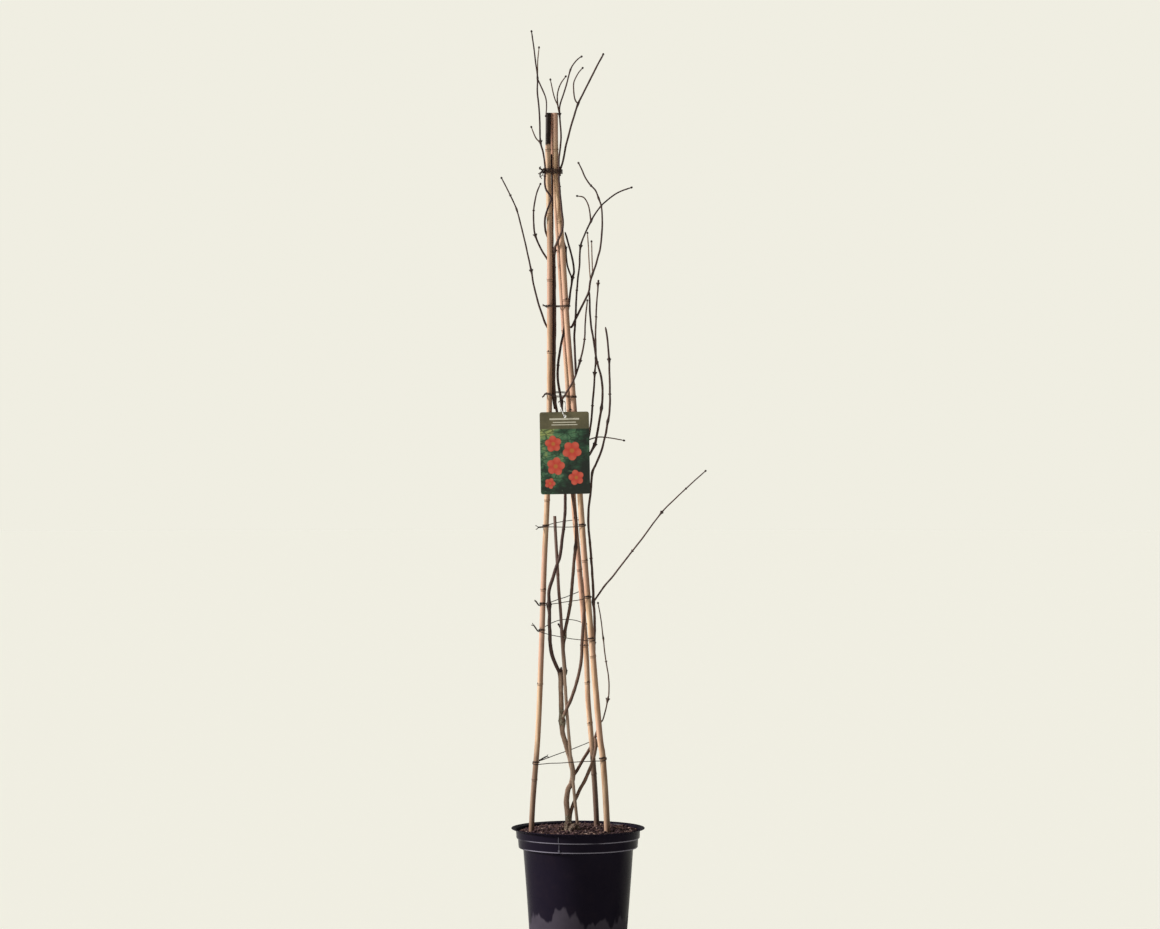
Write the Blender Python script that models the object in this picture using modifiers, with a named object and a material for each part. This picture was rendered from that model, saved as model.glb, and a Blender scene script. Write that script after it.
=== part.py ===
"""Trumpet vine in its winter state, tied to a tripod of bamboo canes in a nursery pot.

Metres, +Z up. The origin is the centre of the pot's underside, and -Y faces the viewer.
"""
import math

import bmesh
import bpy
from mathutils import Matrix, Vector
from mathutils.geometry import convex_hull_2d

# Nursery pot
POT_HEIGHT = 0.228
POT_BASE_R = 0.087
BODY_TOP_R = 0.101
BODY_TOP_Z = 0.190
LOWER_COLLAR_R = 0.1105
UPPER_COLLAR_R = 0.1135
COLLAR_STEP_Z = 0.2095
LIP_R = 0.1225
COLLAR_FILLET = 0.0012
WALL = 0.0014
FLOOR = 0.0022
POT_SEGMENTS = 46
DRAIN_HOLES = 6
DRAIN_R = 0.0065
DRAIN_CIRCLE_R = 0.064

# Potting soil
SOIL_TOP_Z = 0.2262
SOIL_EDGE_DROP = 0.0050
SOIL_RINGS = (0.092, 0.070, 0.047, 0.024, 0.0)
SOIL_GAP = 0.0005
FIT_GAP = 0.0004
CUTTER_OVERRUN = 0.001
CUTTER_TOP_Z = 0.34

# Bamboo canes and the young plant's stake
CANE_LENGTH = 1.50
CANE_SIDES = 2
CANE_RADII = {"left": (0.0046, 0.0039), "right": (0.0053, 0.0045), "back": (0.0049, 0.0040)}
STAKE_R = 0.00265
CANE_HOLLOW = 0.5
CANE_HOLLOW_DEPTH = 0.012
CANE_RING_SWELL = 1.13
CANE_RING_REACH = 0.004

# Ties and the hanging label
WIRE_R = 0.0008
WIRE_BENDS = 14
KNOT_STAND_OFF = 0.0022
LABEL_WIDTH = 0.090
LABEL_HEIGHT = 0.150
LABEL_THICK = 0.0008
LABEL_CORNER = 0.004
LABEL_HOLE_R = 0.003
STRAP_R = 0.0008

# Routes are read off a level view from the front: column, row, and the depth in mm, negative
# in front of the pot's axis. One step of column or row is VIEW_STEP at the axis.
VIEW_STEP = 0.001835
VIEW_COLUMN = 580.0
VIEW_ROW = 464.5
VIEW_DISTANCE = 6.17
VIEW_X = 0.0037
VIEW_Z = POT_HEIGHT + 0.666
KNOT = 1.5


def seen(column, row, depth):
    """The point of the model that the front view shows at a column and row."""
    spread = VIEW_STEP * (1 + depth * 0.001 / VIEW_DISTANCE)
    x = VIEW_X + (column - VIEW_COLUMN) * spread
    return Vector((x, depth * 0.001, VIEW_Z - (row - VIEW_ROW) * spread))


# Canes: where each leaves the soil, its bends and its top
CANE_LEFT = [(531.6, 831, -30), (537.9, 735, -27), (541.4, 650, -24), (544, 570, -21),
             (547.3, 495, -18), (549.3, 408, -15), (549.7, 320, -12), (549.6, 235, -9),
             (548.2, 165, -6), (548.4, 113, -4)]
CANE_RIGHT = [(607.2, 829, -50), (603, 760, -46), (599.7, 735, -44), (592.4, 650, -38),
              (585.5, 570, -33), (580, 495, -28), (574, 408, -23), (567.5, 330, -17),
              (562.4, 250, -12), (556.2, 170, -7), (555.2, 113, -4)]
CANE_BACK = [(596.8, 828, 25), (593, 760, 23), (591, 735, 23), (588, 700, 22), (586, 650, 21),
             (579.5, 570, 19), (573.5, 500, 17), (569, 408, 15), (564, 330, 14),
             (559, 250, 11), (553.6, 170, 10), (550.4, 113, 8)]
CANE_FEET = {"left": (-0.078, -0.027), "right": (0.058, -0.053), "back": (0.037, 0.029)}
CANE_NODES = {
    "left": (778, 683, 589, 500, 424, 352, 280, 214, 150),
    "right": (757, 655, 560, 470, 385, 300, 222, 150),
    "back": (775, 724, 683, 646, 570, 490, 410, 330, 250, 180),
}
STAKE = [(577.5, 826, -22), (574.5, 797, -22), (572.9, 780, -22), (570.4, 754, -22),
         (567.8, 723, -22), (566.4, 704, -22), (564.4, 674, -22), (562.5, 646, -22),
         (560.5, 610, -22), (558.7, 590, -22), (557.4, 565, -22), (555.6, 535, -22),
         (554.7, 516, -22)]
STAKE_FOOT = (0.002, -0.022, 0.170)

# Vine: (route, thickness at its root and at its tip in mm); a fourth value marks a swollen node
TRUNK = [(568.5, 826, -22), (567.5, 815, -20), (566.6, 800, -16), (568, 790, -13),
         (571.6, 783, -12), (573, 775, -12), (571.2, 763, -12), (568, 752, -13),
         (564.8, 740, -16), (562.2, 731, -18), (561.8, 722, -18, KNOT), (561.2, 710, -18),
         (561, 700, -18), (560.9, 690, -18), (560.6, 680, -18), (560.2, 672, -18, 1.25)]
LEFT_LEADER = [(560.4, 675, -18), (556, 665, -20), (552, 655, -22), (550, 640, -23),
               (549.5, 620, -25), (548.9, 605, -27, KNOT), (549.3, 590, -29),
               (552, 580, -31), (556, 568, -32), (560, 555, -31), (562, 540, -28),
               (564, 525, -24), (565, 510, -22), (565.4, 495, -20), (565.5, 475, -19),
               (565, 450, -17), (563.5, 425, -16), (562, 409, -15), (561.7, 401, -14, KNOT),
               (559.4, 390, -14), (557.8, 376, -13), (558.4, 361, -10), (560.6, 347, -7),
               (563.6, 332, -2), (566.5, 318, 0), (568.6, 306, -4), (570.2, 293, -7),
               (571.5, 285, -8), (572.2, 278, -8, KNOT), (574, 272, -8), (573.2, 263, -8),
               (571.5, 255, -8), (569.3, 247, -7), (567.4, 240, -6), (565, 232, -3)]
MIDDLE_LEADER = [(560.8, 688, -17), (563.4, 680, -13), (565.8, 672, -13, KNOT),
                 (565.2, 660, -14), (564.6, 648, -14), (565.2, 636, -15, KNOT),
                 (566.8, 626, -17), (569, 612, -20), (570.7, 602, -21), (571.7, 590, -21),
                 (572.7, 578, -21), (573.7, 565, -21), (575.5, 547, -21, 1.35),
                 (576.4, 530, -20), (575.4, 515, -19), (572.8, 497, -18), (570, 480, -17),
                 (566, 455, -16), (561, 430, -15), (557, 411, -14), (554.9, 399, -14, KNOT),
                 (554.2, 383, -13), (554.4, 360, -13), (555, 335, -12), (555, 305, -11),
                 (554.7, 275, -9), (554.6, 251, -6, KNOT), (557, 243, -2), (560.5, 236, 0),
                 (563.6, 230, -3), (564.3, 222, -9), (563.2, 212, -14), (562, 200, -17),
                 (560.7, 187, -17), (559.9, 175, -15), (562.7, 162, -11), (565.7, 147, -9),
                 (569.5, 131.6, -8), (573.4, 118, -8), (578, 104, -8, KNOT),
                 (582.5, 95, -8), (587, 85.7, -8), (596.3, 67.3, -8), (603.2, 54.3, -8)]
INNER_LEADER = [(561.9, 720, -19), (564, 715, -27), (567, 708, -31), (570, 702, -29),
                (573, 693.5, -26), (576.5, 683, -24), (579.7, 670.5, -24),
                (581.5, 658, -24), (582.2, 641.5, -24), (583, 629, -24), (584, 616, -23),
                (584.6, 605, -22), (584.6, 590, -21), (584.3, 575, -18), (583.6, 560, -15),
                (581.8, 540, -14), (580, 522, -12), (579.6, 500, -10), (580.2, 482, -9),
                (583.5, 466, -11), (587.5, 457.5, -14), (590.5, 453, -16),
                (594.5, 445, -18, KNOT), (597, 435, -18), (599, 422, -18),
                (601.5, 408, -18, KNOT), (602.5, 397, -18), (602.3, 386, -18),
                (600.8, 375, -18), (598.2, 366, -18), (596, 356, -17), (593.5, 340, -16),
                (591.2, 327, -15), (590, 312, -14), (589.2, 291, -14)]
RIGHT_LEADER = [(573.2, 776, -12), (576.5, 771, -8), (580, 765, 0), (584, 758, 13),
                (588, 752, 28), (592, 744, 37), (596, 735, 36), (599.6, 723, 28, 1.3),
                (598.8, 712, 18), (597, 700, 8), (595.2, 680, -4), (594.2, 660, -10),
                (594.2, 642, -12), (594.6, 628, -14), (594.4, 614, -22),
                (593.4, 602, -30, KNOT), (593.2, 588, -30), (592.2, 572, -29),
                (590.8, 553, -28), (589.4, 538, -28), (588.4, 524, -28), (588.4, 510, -27),
                (589.7, 500, -27), (591, 488, -27), (592.3, 473, -27, 1.3), (596, 464, -27),
                (600, 455, -26), (603, 445, -25), (606, 432, -24), (608, 421, -24, KNOT),
                (609.5, 410, -24), (610, 395, -24), (609.5, 376, -24),
                (609, 360, -24, KNOT), (607.5, 340, -24), (605.5, 327, -24)]
PRUNED_STEM = [(569.5, 822, -22), (571.3, 810, -15), (575, 800, -11), (580, 789, -9),
               (585, 780, -7), (589.5, 770, -4), (592.5, 762, -2), (594.7, 754, -1),
               (596, 745, 0), (595.5, 738, 0)]
LONG_SIDE_SHOOT = [(593.5, 602, -30), (603, 588, -32), (613.2, 575.7, -34),
                   (628.5, 555.8, -36), (640.7, 540.5, -38), (661.4, 512.8, -40, KNOT),
                   (677, 497, -41), (691.2, 483.7, -42), (705.5, 471, -42)]
THIN_RIGHT_SHOOT = [(599.6, 723, 28), (602.5, 720.5, 24), (605.3, 711, 19),
                    (607.8, 699.7, 16, 2.2), (608.9, 693, 15), (608.6, 678, 14),
                    (605.5, 658, 12), (603.2, 638.5, 9, 1.8), (601, 620, 4),
                    (598, 603, -2)]
LABEL_SHOOT = [(586, 441, -13), (592, 438.6, -14), (599.4, 437, -15), (610, 438, -16),
               (619.3, 439.6, -17), (624, 440.5, -17)]
RIGHT_UPPER = [(583.5, 466, -11), (586, 450, -12), (588, 440, -13), (590, 430, -13),
               (592, 414, -13), (593, 399, -14), (594.2, 384, -14),
               (594.7, 373.6, -15, KNOT), (596, 358, -17, 1.4), (595.4, 335, -17),
               (596, 319.5, -17), (596.6, 304, -17), (597.8, 290, -17),
               (598.1, 284, -17, 1.6), (598.4, 281, -17)]
CROSSING_SHOOT = [(565, 322, -1), (568.5, 326, -1), (571.5, 327, -4), (575, 320, -9),
                  (580, 310, -12), (585, 300, -14), (589, 291, -14), (590.4, 281, -14),
                  (592.7, 273.5, -14, 1.3), (595.6, 266, -14), (598, 256.7, -14),
                  (600.4, 246.8, -14), (602.3, 226, -14), (601.5, 208, -14),
                  (598.5, 198, -14, KNOT), (595.5, 190.5, -14), (590, 184.5, -14),
                  (585, 177, -14), (582, 170, -14), (578.5, 163, -14)]
FRONT_SHOOT = [(561.7, 400, -14), (563.2, 397.5, -22), (565, 395, -28),
               (567.4, 390.4, -31), (570.5, 386, -32), (573.6, 380, -31),
               (576.6, 372.8, -28), (580, 361.4, -24, KNOT), (583, 349, -20),
               (584.6, 337.7, -18), (585.4, 319.5, -17), (587.3, 300.5, -17)]
HIGH_SHOOT = [(575.8, 375, -29), (575.2, 360, -25), (574.6, 347, -21), (574.4, 335, -18),
              (575.6, 315, -16), (576.2, 300, -15), (577, 289, -14), (578, 277, -13),
              (579.5, 265, -13), (580.4, 246.5, -12, KNOT), (585, 233.8, -12),
              (588, 227, -12), (590.8, 221.5, -12, KNOT), (594, 215.5, -12),
              (600.9, 206, -12), (607, 200.5, -12), (614.7, 194.4, -12),
              (622.3, 190.6, -12), (631.5, 187.5, -12)]
HIGH_SHOOT_TWIG = [(590.8, 221.5, -12), (589.4, 209.7, -12), (587, 202, -12),
                   (583.4, 197.2, -12), (577.2, 196, -12)]
INNER_PRONG = [(572.2, 278, -8), (569.7, 273, -7), (567.6, 266, -6), (566.4, 258, -5),
               (565.7, 248.3, -4, KNOT), (563.6, 240, -2), (562.4, 235, -1)]
LEFT_SHOOT = [(554.9, 336, -12), (552.5, 334, -3), (549.5, 331, 0), (546, 325, -3),
              (542.8, 316.8, -8), (538.2, 303, -10), (533.6, 284.7, -12),
              (531.3, 271, -12, KNOT), (525.9, 246.4, -13), (521.3, 226.5, -14),
              (516.7, 209.7, -15, KNOT), (510.6, 196, -16), (501.5, 178, -16)]
LEFT_INNER_SHOOT = [(554.6, 270, -8), (552.5, 266, 1), (549.5, 262, 4), (546, 257, 0),
                    (541.2, 249.5, -6), (535.4, 235.7, -8, KNOT), (533.9, 225, -8),
                    (533.6, 211, -8), (536.4, 194, -8), (540.4, 184, -8)]
TOP_LEFT_LEADER = [(554.6, 252, -6), (552, 246, 2), (549, 240, 4), (546, 233, 1),
                   (544.9, 226, -6), (545, 219, -12), (546.5, 212, -17), (549, 205, -18),
                   (551.3, 199, -18), (549.5, 194.5, -18), (546.3, 190, -17),
                   (544.8, 184, -14), (544.9, 175, -14), (545, 166.8, -14),
                   (543, 152, -13), (540.5, 142, -13, KNOT), (539.7, 122.5, -13),
                   (538.9, 107, -13), (537.4, 93, -13), (537.4, 78, -13, KNOT),
                   (535.9, 64.3, -13), (533.6, 45.9, -13), (531.5, 31.4, -13)]
TOP_DROOPING_TWIG = [(537.4, 79, -13), (541.2, 87, -14), (545.8, 98, -14),
                     (546.6, 107, -14), (545.8, 116, -14)]
TOP_FINE_TWIG = [(537.4, 78, -13), (537.8, 61, -13), (539, 47.5, -13)]
TOP_SIDE_TWIG = [(540.5, 142, -13), (537, 139.5, -13), (534.3, 134.7, -13),
                 (531.3, 127, -13)]
TOP_HOOK_TWIG = [(578, 104, -8), (575, 99.5, -8), (573.7, 90.3, -8), (574, 82, -8),
                 (578, 73.5, -8), (582.6, 68, -8)]
TOP_RIGHT_LEADER = [(560, 176, -15), (559, 166, -15), (559, 157, -14), (560.5, 145.4, -11),
                    (561, 136, -9), (560.4, 125, -8), (559.6, 114.5, -8, KNOT),
                    (559.8, 106, -8), (562.7, 96.4, -8), (566.5, 84.2, -8),
                    (570.3, 70.4, -8, KNOT), (573.4, 64.3, -8), (578, 59, -8),
                    (581.5, 56.6, -8)]
TOP_INNER_TWIG = [(559.6, 114, -8), (557.8, 105.6, -8), (557.3, 96, -8), (558.6, 89, -8),
                  (561.4, 82.4, -8), (565.7, 76.5, -8)]
TOP_UPRIGHT_TWIG = [(557.7, 105, -8), (555.3, 100, -8), (552.9, 91.8, -8),
                    (550.4, 79.6, -8)]
FINE_TWIG_ONE = [(592.7, 274, -14), (592, 258, -14), (591.5, 241.5, -14)]
FINE_TWIG_TWO = [(590.4, 280, -14), (589.3, 266, -14), (588.5, 250, -14),
                 (587.5, 233, -14)]
SIDE_BUD_TWIG = [(565.2, 636, -15), (562, 631, -13), (558.6, 624.5, -15)]
PRUNED_SPUR = [(560.3, 674, -18), (561.2, 667, -17)]
MOSSY_STUB = [(561.9, 722, -18), (559.6, 718, -20)]

SHOOTS = [
    (TRUNK, 4.7, 4.0), (LEFT_LEADER, 3.2, 1.5), (MIDDLE_LEADER, 2.9, 1.3),
    (INNER_LEADER, 2.9, 1.4), (RIGHT_LEADER, 2.7, 1.4), (PRUNED_STEM, 3.0, 2.6),
    (LONG_SIDE_SHOOT, 1.6, 0.9), (THIN_RIGHT_SHOOT, 1.2, 0.9), (LABEL_SHOOT, 1.1, 0.8),
    (RIGHT_UPPER, 1.9, 1.2), (CROSSING_SHOOT, 1.9, 1.1), (FRONT_SHOOT, 1.8, 1.1),
    (HIGH_SHOOT, 1.9, 1.1), (HIGH_SHOOT_TWIG, 1.2, 0.9), (INNER_PRONG, 1.5, 1.2),
    (LEFT_SHOOT, 1.8, 1.0), (LEFT_INNER_SHOOT, 1.7, 1.1), (TOP_LEFT_LEADER, 1.8, 1.1),
    (TOP_DROOPING_TWIG, 1.2, 0.9), (TOP_FINE_TWIG, 1.0, 0.8), (TOP_SIDE_TWIG, 1.1, 0.8),
    (TOP_HOOK_TWIG, 1.2, 0.9), (TOP_RIGHT_LEADER, 1.6, 1.0), (TOP_INNER_TWIG, 1.2, 0.9),
    (TOP_UPRIGHT_TWIG, 1.0, 0.8), (FINE_TWIG_ONE, 1.0, 0.8), (FINE_TWIG_TWO, 1.0, 0.8),
    (SIDE_BUD_TWIG, 1.6, 1.3), (PRUNED_SPUR, 2.6, 2.0), (MOSSY_STUB, 2.4, 1.8),
]

# Crown at the soil: rounded lumps of old wood and the root stub below (column, row, depth, mm)
CROWN_LUMPS = [(568.6, 825.5, -24, 8.8), (574.2, 828, -36, 8.6), (571.6, 830, -40, 6.6),
               (577.6, 829.5, -39, 5.6), (567.2, 829, -35, 5.4)]
ROOT_STUB = [(568.6, 824, -24), (569, 836, -25), (570, 846, -27)]
ROOT_STUB_RADII = (0.0072, 0.0056, 0.0030)

# Wire ties: row at the left cane, at the right cane and behind the back cane, what the wire
# also goes round (column, depth, mm), and where the twisted ends point: to the left from the
# left cane's front, or to the right from behind it
TIES = [
    (171.0, 171.5, 170.0, ((545.0, -14, 1.9), (560.5, -14.5, 2.5)), (-3.4, -3.0)),
    (306.5, 306.5, 305.5, ((568.6, -4, 2.0),), (-3.6, -1.5)),
    (394.0, 396.8, 393.0, ((565.2, -28, 1.9),), (-3.0, 4.5)),
    (526.5, 527.0, 520.5, (), (-1.5, 4.5)),
    (604.0, 597.0, 592.0, ((549.0, -28, 4.6),), (-5.0, -7.0)),
    (630.5, 638.5, 617.0, (), (-7.0, -10.0)),
    (762.0, 758.5, 743.5, (), (9.0, -6.5)),
]

# Label: middle of its card and lean; strap round the left leader
LABEL_MIDDLE = (564.9, 453.0, -40)
LABEL_LEAN = math.radians(-1.0)
LABEL_HOLE = (564.6, 416.4)
STRAP_LOOP = [(564.5, 416.6, -42.2), (562.8, 412.8, -42.5), (561, 408.5, -39), (559.2, 405, -28),
              (558.5, 403, -19), (559.1, 401.6, -11.5), (561.8, 401, -8.3),
              (564.4, 401.6, -11.5), (565.1, 403, -19), (565.2, 408, -29), (565.1, 413, -36),
              (564.8, 416.2, -37.8)]


def clear_scene():
    for item in list(bpy.data.objects):
        bpy.data.objects.remove(item, do_unlink=True)


def new_collection(name):
    group = bpy.data.collections.new(name)
    bpy.context.scene.collection.children.link(group)
    return group


def material(name, colour, roughness, metallic=0.0):
    finish = bpy.data.materials.new(name)
    finish.use_nodes = True
    shader = finish.node_tree.nodes["Principled BSDF"]
    shader.inputs["Base Color"].default_value = (*colour, 1.0)
    shader.inputs["Roughness"].default_value = roughness
    shader.inputs["Metallic"].default_value = metallic
    return finish


def add_object(name, mesh, group, finish=None):
    item = bpy.data.objects.new(name, mesh)
    group.objects.link(item)
    if finish:
        mesh.materials.clear()
        mesh.materials.append(finish)
    return item


def as_cutter(item):
    item.hide_render = True
    item.display_type = "WIRE"
    return item


def mesh_of(item, group, weld=0.00002):
    """Turn a curve object into a closed mesh object of the same name."""
    bpy.context.view_layer.update()
    evaluated = item.evaluated_get(bpy.context.evaluated_depsgraph_get())
    mesh = bpy.data.meshes.new_from_object(evaluated)
    shape = bmesh.new()
    shape.from_mesh(mesh)
    bmesh.ops.remove_doubles(shape, verts=shape.verts, dist=weld)
    bmesh.ops.triangulate(shape, faces=[face for face in shape.faces if len(face.verts) > 4])
    bmesh.ops.recalc_face_normals(shape, faces=shape.faces)
    shape.to_mesh(mesh)
    shape.free()
    name = item.name
    place = item.matrix_world.copy()
    bpy.data.objects.remove(item, do_unlink=True)
    made = add_object(name, mesh, group)
    made.matrix_world = place
    return made


def tube(name, points, radii, group, resolution=1, closed=False):
    """A solid rod along points, with its own radius at each of them."""
    curve = bpy.data.curves.new(name, "CURVE")
    curve.dimensions = "3D"
    curve.bevel_depth = 1.0
    curve.bevel_resolution = resolution
    curve.use_fill_caps = not closed
    spline = curve.splines.new("POLY")
    spline.points.add(len(points) - 1)
    for knot, place, radius in zip(spline.points, points, radii):
        knot.co = (*place, 1.0)
        knot.radius = radius
    spline.use_cyclic_u = closed
    item = bpy.data.objects.new(name, curve)
    group.objects.link(item)
    return mesh_of(item, group)


def placed(route):
    return [seen(*point[:3]) for point in route]


def lengths_along(points):
    run = [0.0]
    for here, there in zip(points, points[1:]):
        run.append(run[-1] + (there - here).length)
    return run


def shoot_shape(route, root_mm, tip_mm):
    """Points and radii of a shoot: an even taper, with a short swelling at each node."""
    places = placed(route)
    run = lengths_along(places)
    points = []
    radii = []
    for index, (place, along) in enumerate(zip(places, run)):
        radius = 0.001 * (root_mm + (tip_mm - root_mm) * along / run[-1])
        swelling = route[index][3] if len(route[index]) > 3 else 1.0
        inner = 0 < index < len(places) - 1
        if swelling > 1.0 and inner:
            reach = 0.0012 + 1.5 * radius
            back = (places[index - 1] - place).normalized()
            ahead = (places[index + 1] - place).normalized()
            points += [place + back * reach, place, place + ahead * reach]
            radii += [radius, radius * swelling, radius]
        else:
            points.append(place)
            radii.append(radius * swelling)
    return points, radii


def bud_pairs(route, root_mm, tip_mm):
    """Opposite buds at the swollen nodes: (root, tip, radius) of each."""
    places = placed(route)
    run = lengths_along(places)
    buds = []
    for index in range(1, len(route) - 1):
        if len(route[index]) < 4 or route[index][3] < KNOT:
            continue
        radius = 0.001 * (root_mm + (tip_mm - root_mm) * run[index] / run[-1])
        ahead = (places[index + 1] - places[index - 1]).normalized()
        outward = ahead.cross(Vector((0.0, 1.0, 0.0))).normalized()
        turned = Matrix.Rotation(math.radians(50.0 * (index % 3)), 3, ahead)
        outward = turned @ outward
        for side in (-1, 1):
            tip = places[index] + outward * side * (radius * 1.7 + 0.0011) + ahead * 0.0030
            buds.append((places[index] - ahead * 0.0004, tip, radius * 0.8))
    return buds


def ball(name, centre, radius, group, segments=10, rings=7):
    shape = bmesh.new()
    bmesh.ops.create_uvsphere(shape, u_segments=segments, v_segments=rings, radius=radius)
    bmesh.ops.translate(shape, verts=shape.verts, vec=centre)
    mesh = bpy.data.meshes.new(name)
    shape.to_mesh(mesh)
    shape.free()
    return add_object(name, mesh, group)


def apply_boolean(item, operation, operand, solver="EXACT"):
    """Join to, or cut from, one object the objects of a collection."""
    change = item.modifiers.new(operation.title(), "BOOLEAN")
    change.operation = operation
    change.operand_type = "COLLECTION"
    change.collection = operand
    change.solver = solver
    bpy.context.view_layer.update()
    evaluated = item.evaluated_get(bpy.context.evaluated_depsgraph_get())
    mesh = bpy.data.meshes.new_from_object(evaluated)
    item.modifiers.remove(change)
    item.data = mesh
    return item


def tidy_mesh(item, distance=0.00001):
    shape = bmesh.new()
    shape.from_mesh(item.data)
    bmesh.ops.remove_doubles(shape, verts=shape.verts, dist=distance)
    bmesh.ops.dissolve_degenerate(shape, edges=shape.edges, dist=distance)
    bmesh.ops.triangulate(shape, faces=shape.faces)
    shape.to_mesh(item.data)
    shape.free()


def drop_collection(group):
    for item in list(group.objects):
        bpy.data.objects.remove(item, do_unlink=True)
    bpy.data.collections.remove(group)


def smooth(item, angle=40.0):
    item.data.shade_smooth()
    item.data.set_sharp_from_angle(angle=math.radians(angle))


# Pot and soil
def body_radius(z):
    return POT_BASE_R + (BODY_TOP_R - POT_BASE_R) * z / BODY_TOP_Z


def turned(name, profile, group, finish):
    mesh = bpy.data.meshes.new(name)
    edges = [(index, index + 1) for index in range(len(profile) - 1)]
    mesh.from_pydata([(radius, 0.0, z) for radius, z in profile], edges, [])
    item = add_object(name, mesh, group, finish)
    screw = item.modifiers.new("Turn", "SCREW")
    screw.steps = POT_SEGMENTS
    screw.render_steps = POT_SEGMENTS
    screw.use_merge_vertices = True
    screw.merge_threshold = 0.00001
    return item


def make_pot(group, cutters, finish):
    outer = [
        (0.0, 0.0),
        (POT_BASE_R - 0.0025, 0.0),
        (POT_BASE_R, 0.0025),
        (body_radius(BODY_TOP_Z), BODY_TOP_Z - 0.0010),
        (LOWER_COLLAR_R - 0.0022, BODY_TOP_Z + 0.0020),
        (LOWER_COLLAR_R - 0.0010, BODY_TOP_Z + 0.0040),
        (LOWER_COLLAR_R, COLLAR_STEP_Z - COLLAR_FILLET),
        (UPPER_COLLAR_R - 0.0004, COLLAR_STEP_Z + COLLAR_FILLET * 0.5),
        (UPPER_COLLAR_R + 0.0004, POT_HEIGHT - 0.0050),
        (UPPER_COLLAR_R + 0.0022, POT_HEIGHT - 0.0032),
        (LIP_R - 0.0004, POT_HEIGHT - 0.0016),
        (LIP_R, POT_HEIGHT - 0.0008),
        (LIP_R - 0.0006, POT_HEIGHT),
    ]
    inner = [
        (UPPER_COLLAR_R + 0.0020, POT_HEIGHT - 0.0016),
        (UPPER_COLLAR_R + 0.0004 - WALL, POT_HEIGHT - 0.0042),
        (UPPER_COLLAR_R - 0.0004 - WALL, COLLAR_STEP_Z + COLLAR_FILLET * 1.2),
        (LOWER_COLLAR_R - WALL, COLLAR_STEP_Z - COLLAR_FILLET * 0.6),
        (LOWER_COLLAR_R - 0.0010 - WALL, BODY_TOP_Z + 0.0048),
        (LOWER_COLLAR_R - 0.0024 - WALL, BODY_TOP_Z + 0.0032),
        (body_radius(BODY_TOP_Z) - WALL, BODY_TOP_Z + 0.0004),
        (POT_BASE_R - WALL, FLOOR + 0.0015),
        (POT_BASE_R - WALL - 0.0015, FLOOR),
        (0.0, FLOOR),
    ]
    profile = list(reversed(outer + inner))
    pot = turned("pot", profile, group, finish)
    for index in range(DRAIN_HOLES):
        angle = math.tau * (index + 0.5) / DRAIN_HOLES
        hole = bmesh.new()
        bmesh.ops.create_cone(hole, cap_ends=True, segments=12, radius1=DRAIN_R,
                              radius2=DRAIN_R, depth=FLOOR * 5)
        place = (DRAIN_CIRCLE_R * math.cos(angle), DRAIN_CIRCLE_R * math.sin(angle), 0.0)
        bmesh.ops.translate(hole, verts=hole.verts, vec=place)
        mesh = bpy.data.meshes.new("drain_hole")
        hole.to_mesh(mesh)
        hole.free()
        as_cutter(add_object(f"drain_hole_{index + 1}", mesh, cutters))
    holes = pot.modifiers.new("Drain holes", "BOOLEAN")
    holes.operand_type = "COLLECTION"
    holes.collection = cutters
    return pot


def soil_height(x, y):
    """Heaped a little in the middle, lower at the left, with coarse crumbs."""
    reach = math.hypot(x, y) / UPPER_COLLAR_R
    crumbs = math.sin(x * 410) * math.sin(y * 370 + 1.3) + 0.6 * math.sin(x * 730 + y * 560)
    low_left = 0.0022 * max(0.0, -x / UPPER_COLLAR_R)
    return SOIL_TOP_Z - SOIL_EDGE_DROP * reach ** 2 - low_left + 0.0007 * crumbs


def make_soil(group, holes, finish):
    inset = WALL + SOIL_GAP
    side = [
        (0.0, FLOOR + SOIL_GAP),
        (POT_BASE_R - 0.0015 - inset, FLOOR + SOIL_GAP),
        (POT_BASE_R - inset, FLOOR + 0.0015 + SOIL_GAP),
        (body_radius(BODY_TOP_Z) - inset, BODY_TOP_Z + 0.0007),
        (LOWER_COLLAR_R - 0.0026 - inset, BODY_TOP_Z + 0.0040),
        (LOWER_COLLAR_R - 0.0012 - inset, BODY_TOP_Z + 0.0056),
        (LOWER_COLLAR_R - inset, COLLAR_STEP_Z - 0.0002),
        (UPPER_COLLAR_R - 0.0006 - inset, COLLAR_STEP_Z + 0.0024),
        (UPPER_COLLAR_R - 0.0004 - inset, SOIL_TOP_Z - 0.0070),
    ]
    top = [(radius, SOIL_TOP_Z - 0.004) for radius in SOIL_RINGS]
    soil = turned("soil", list(reversed(side + top)), group, finish)
    bpy.context.view_layer.update()
    evaluated = soil.evaluated_get(bpy.context.evaluated_depsgraph_get())
    mesh = bpy.data.meshes.new_from_object(evaluated)
    soil.modifiers.clear()
    soil.data = mesh
    for vertex in mesh.vertices:
        if vertex.co.z > SOIL_TOP_Z - 0.0050:
            vertex.co.z = soil_height(vertex.co.x, vertex.co.y)
    tidy_mesh(soil)
    apply_boolean(soil, "DIFFERENCE", holes)
    tidy_mesh(soil)
    return soil


# Canes
def along_z(points, z):
    """The point of a rising route at a height."""
    for low, high in zip(points, points[1:]):
        if low.z <= z <= high.z:
            return low.lerp(high, (z - low.z) / (high.z - low.z))
    return points[-1] if z > points[-1].z else points[0]


def cane_points(route, foot):
    points = placed(route)
    foot_z = points[-1].z - CANE_LENGTH
    return [Vector((*foot, foot_z))] + points


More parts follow.
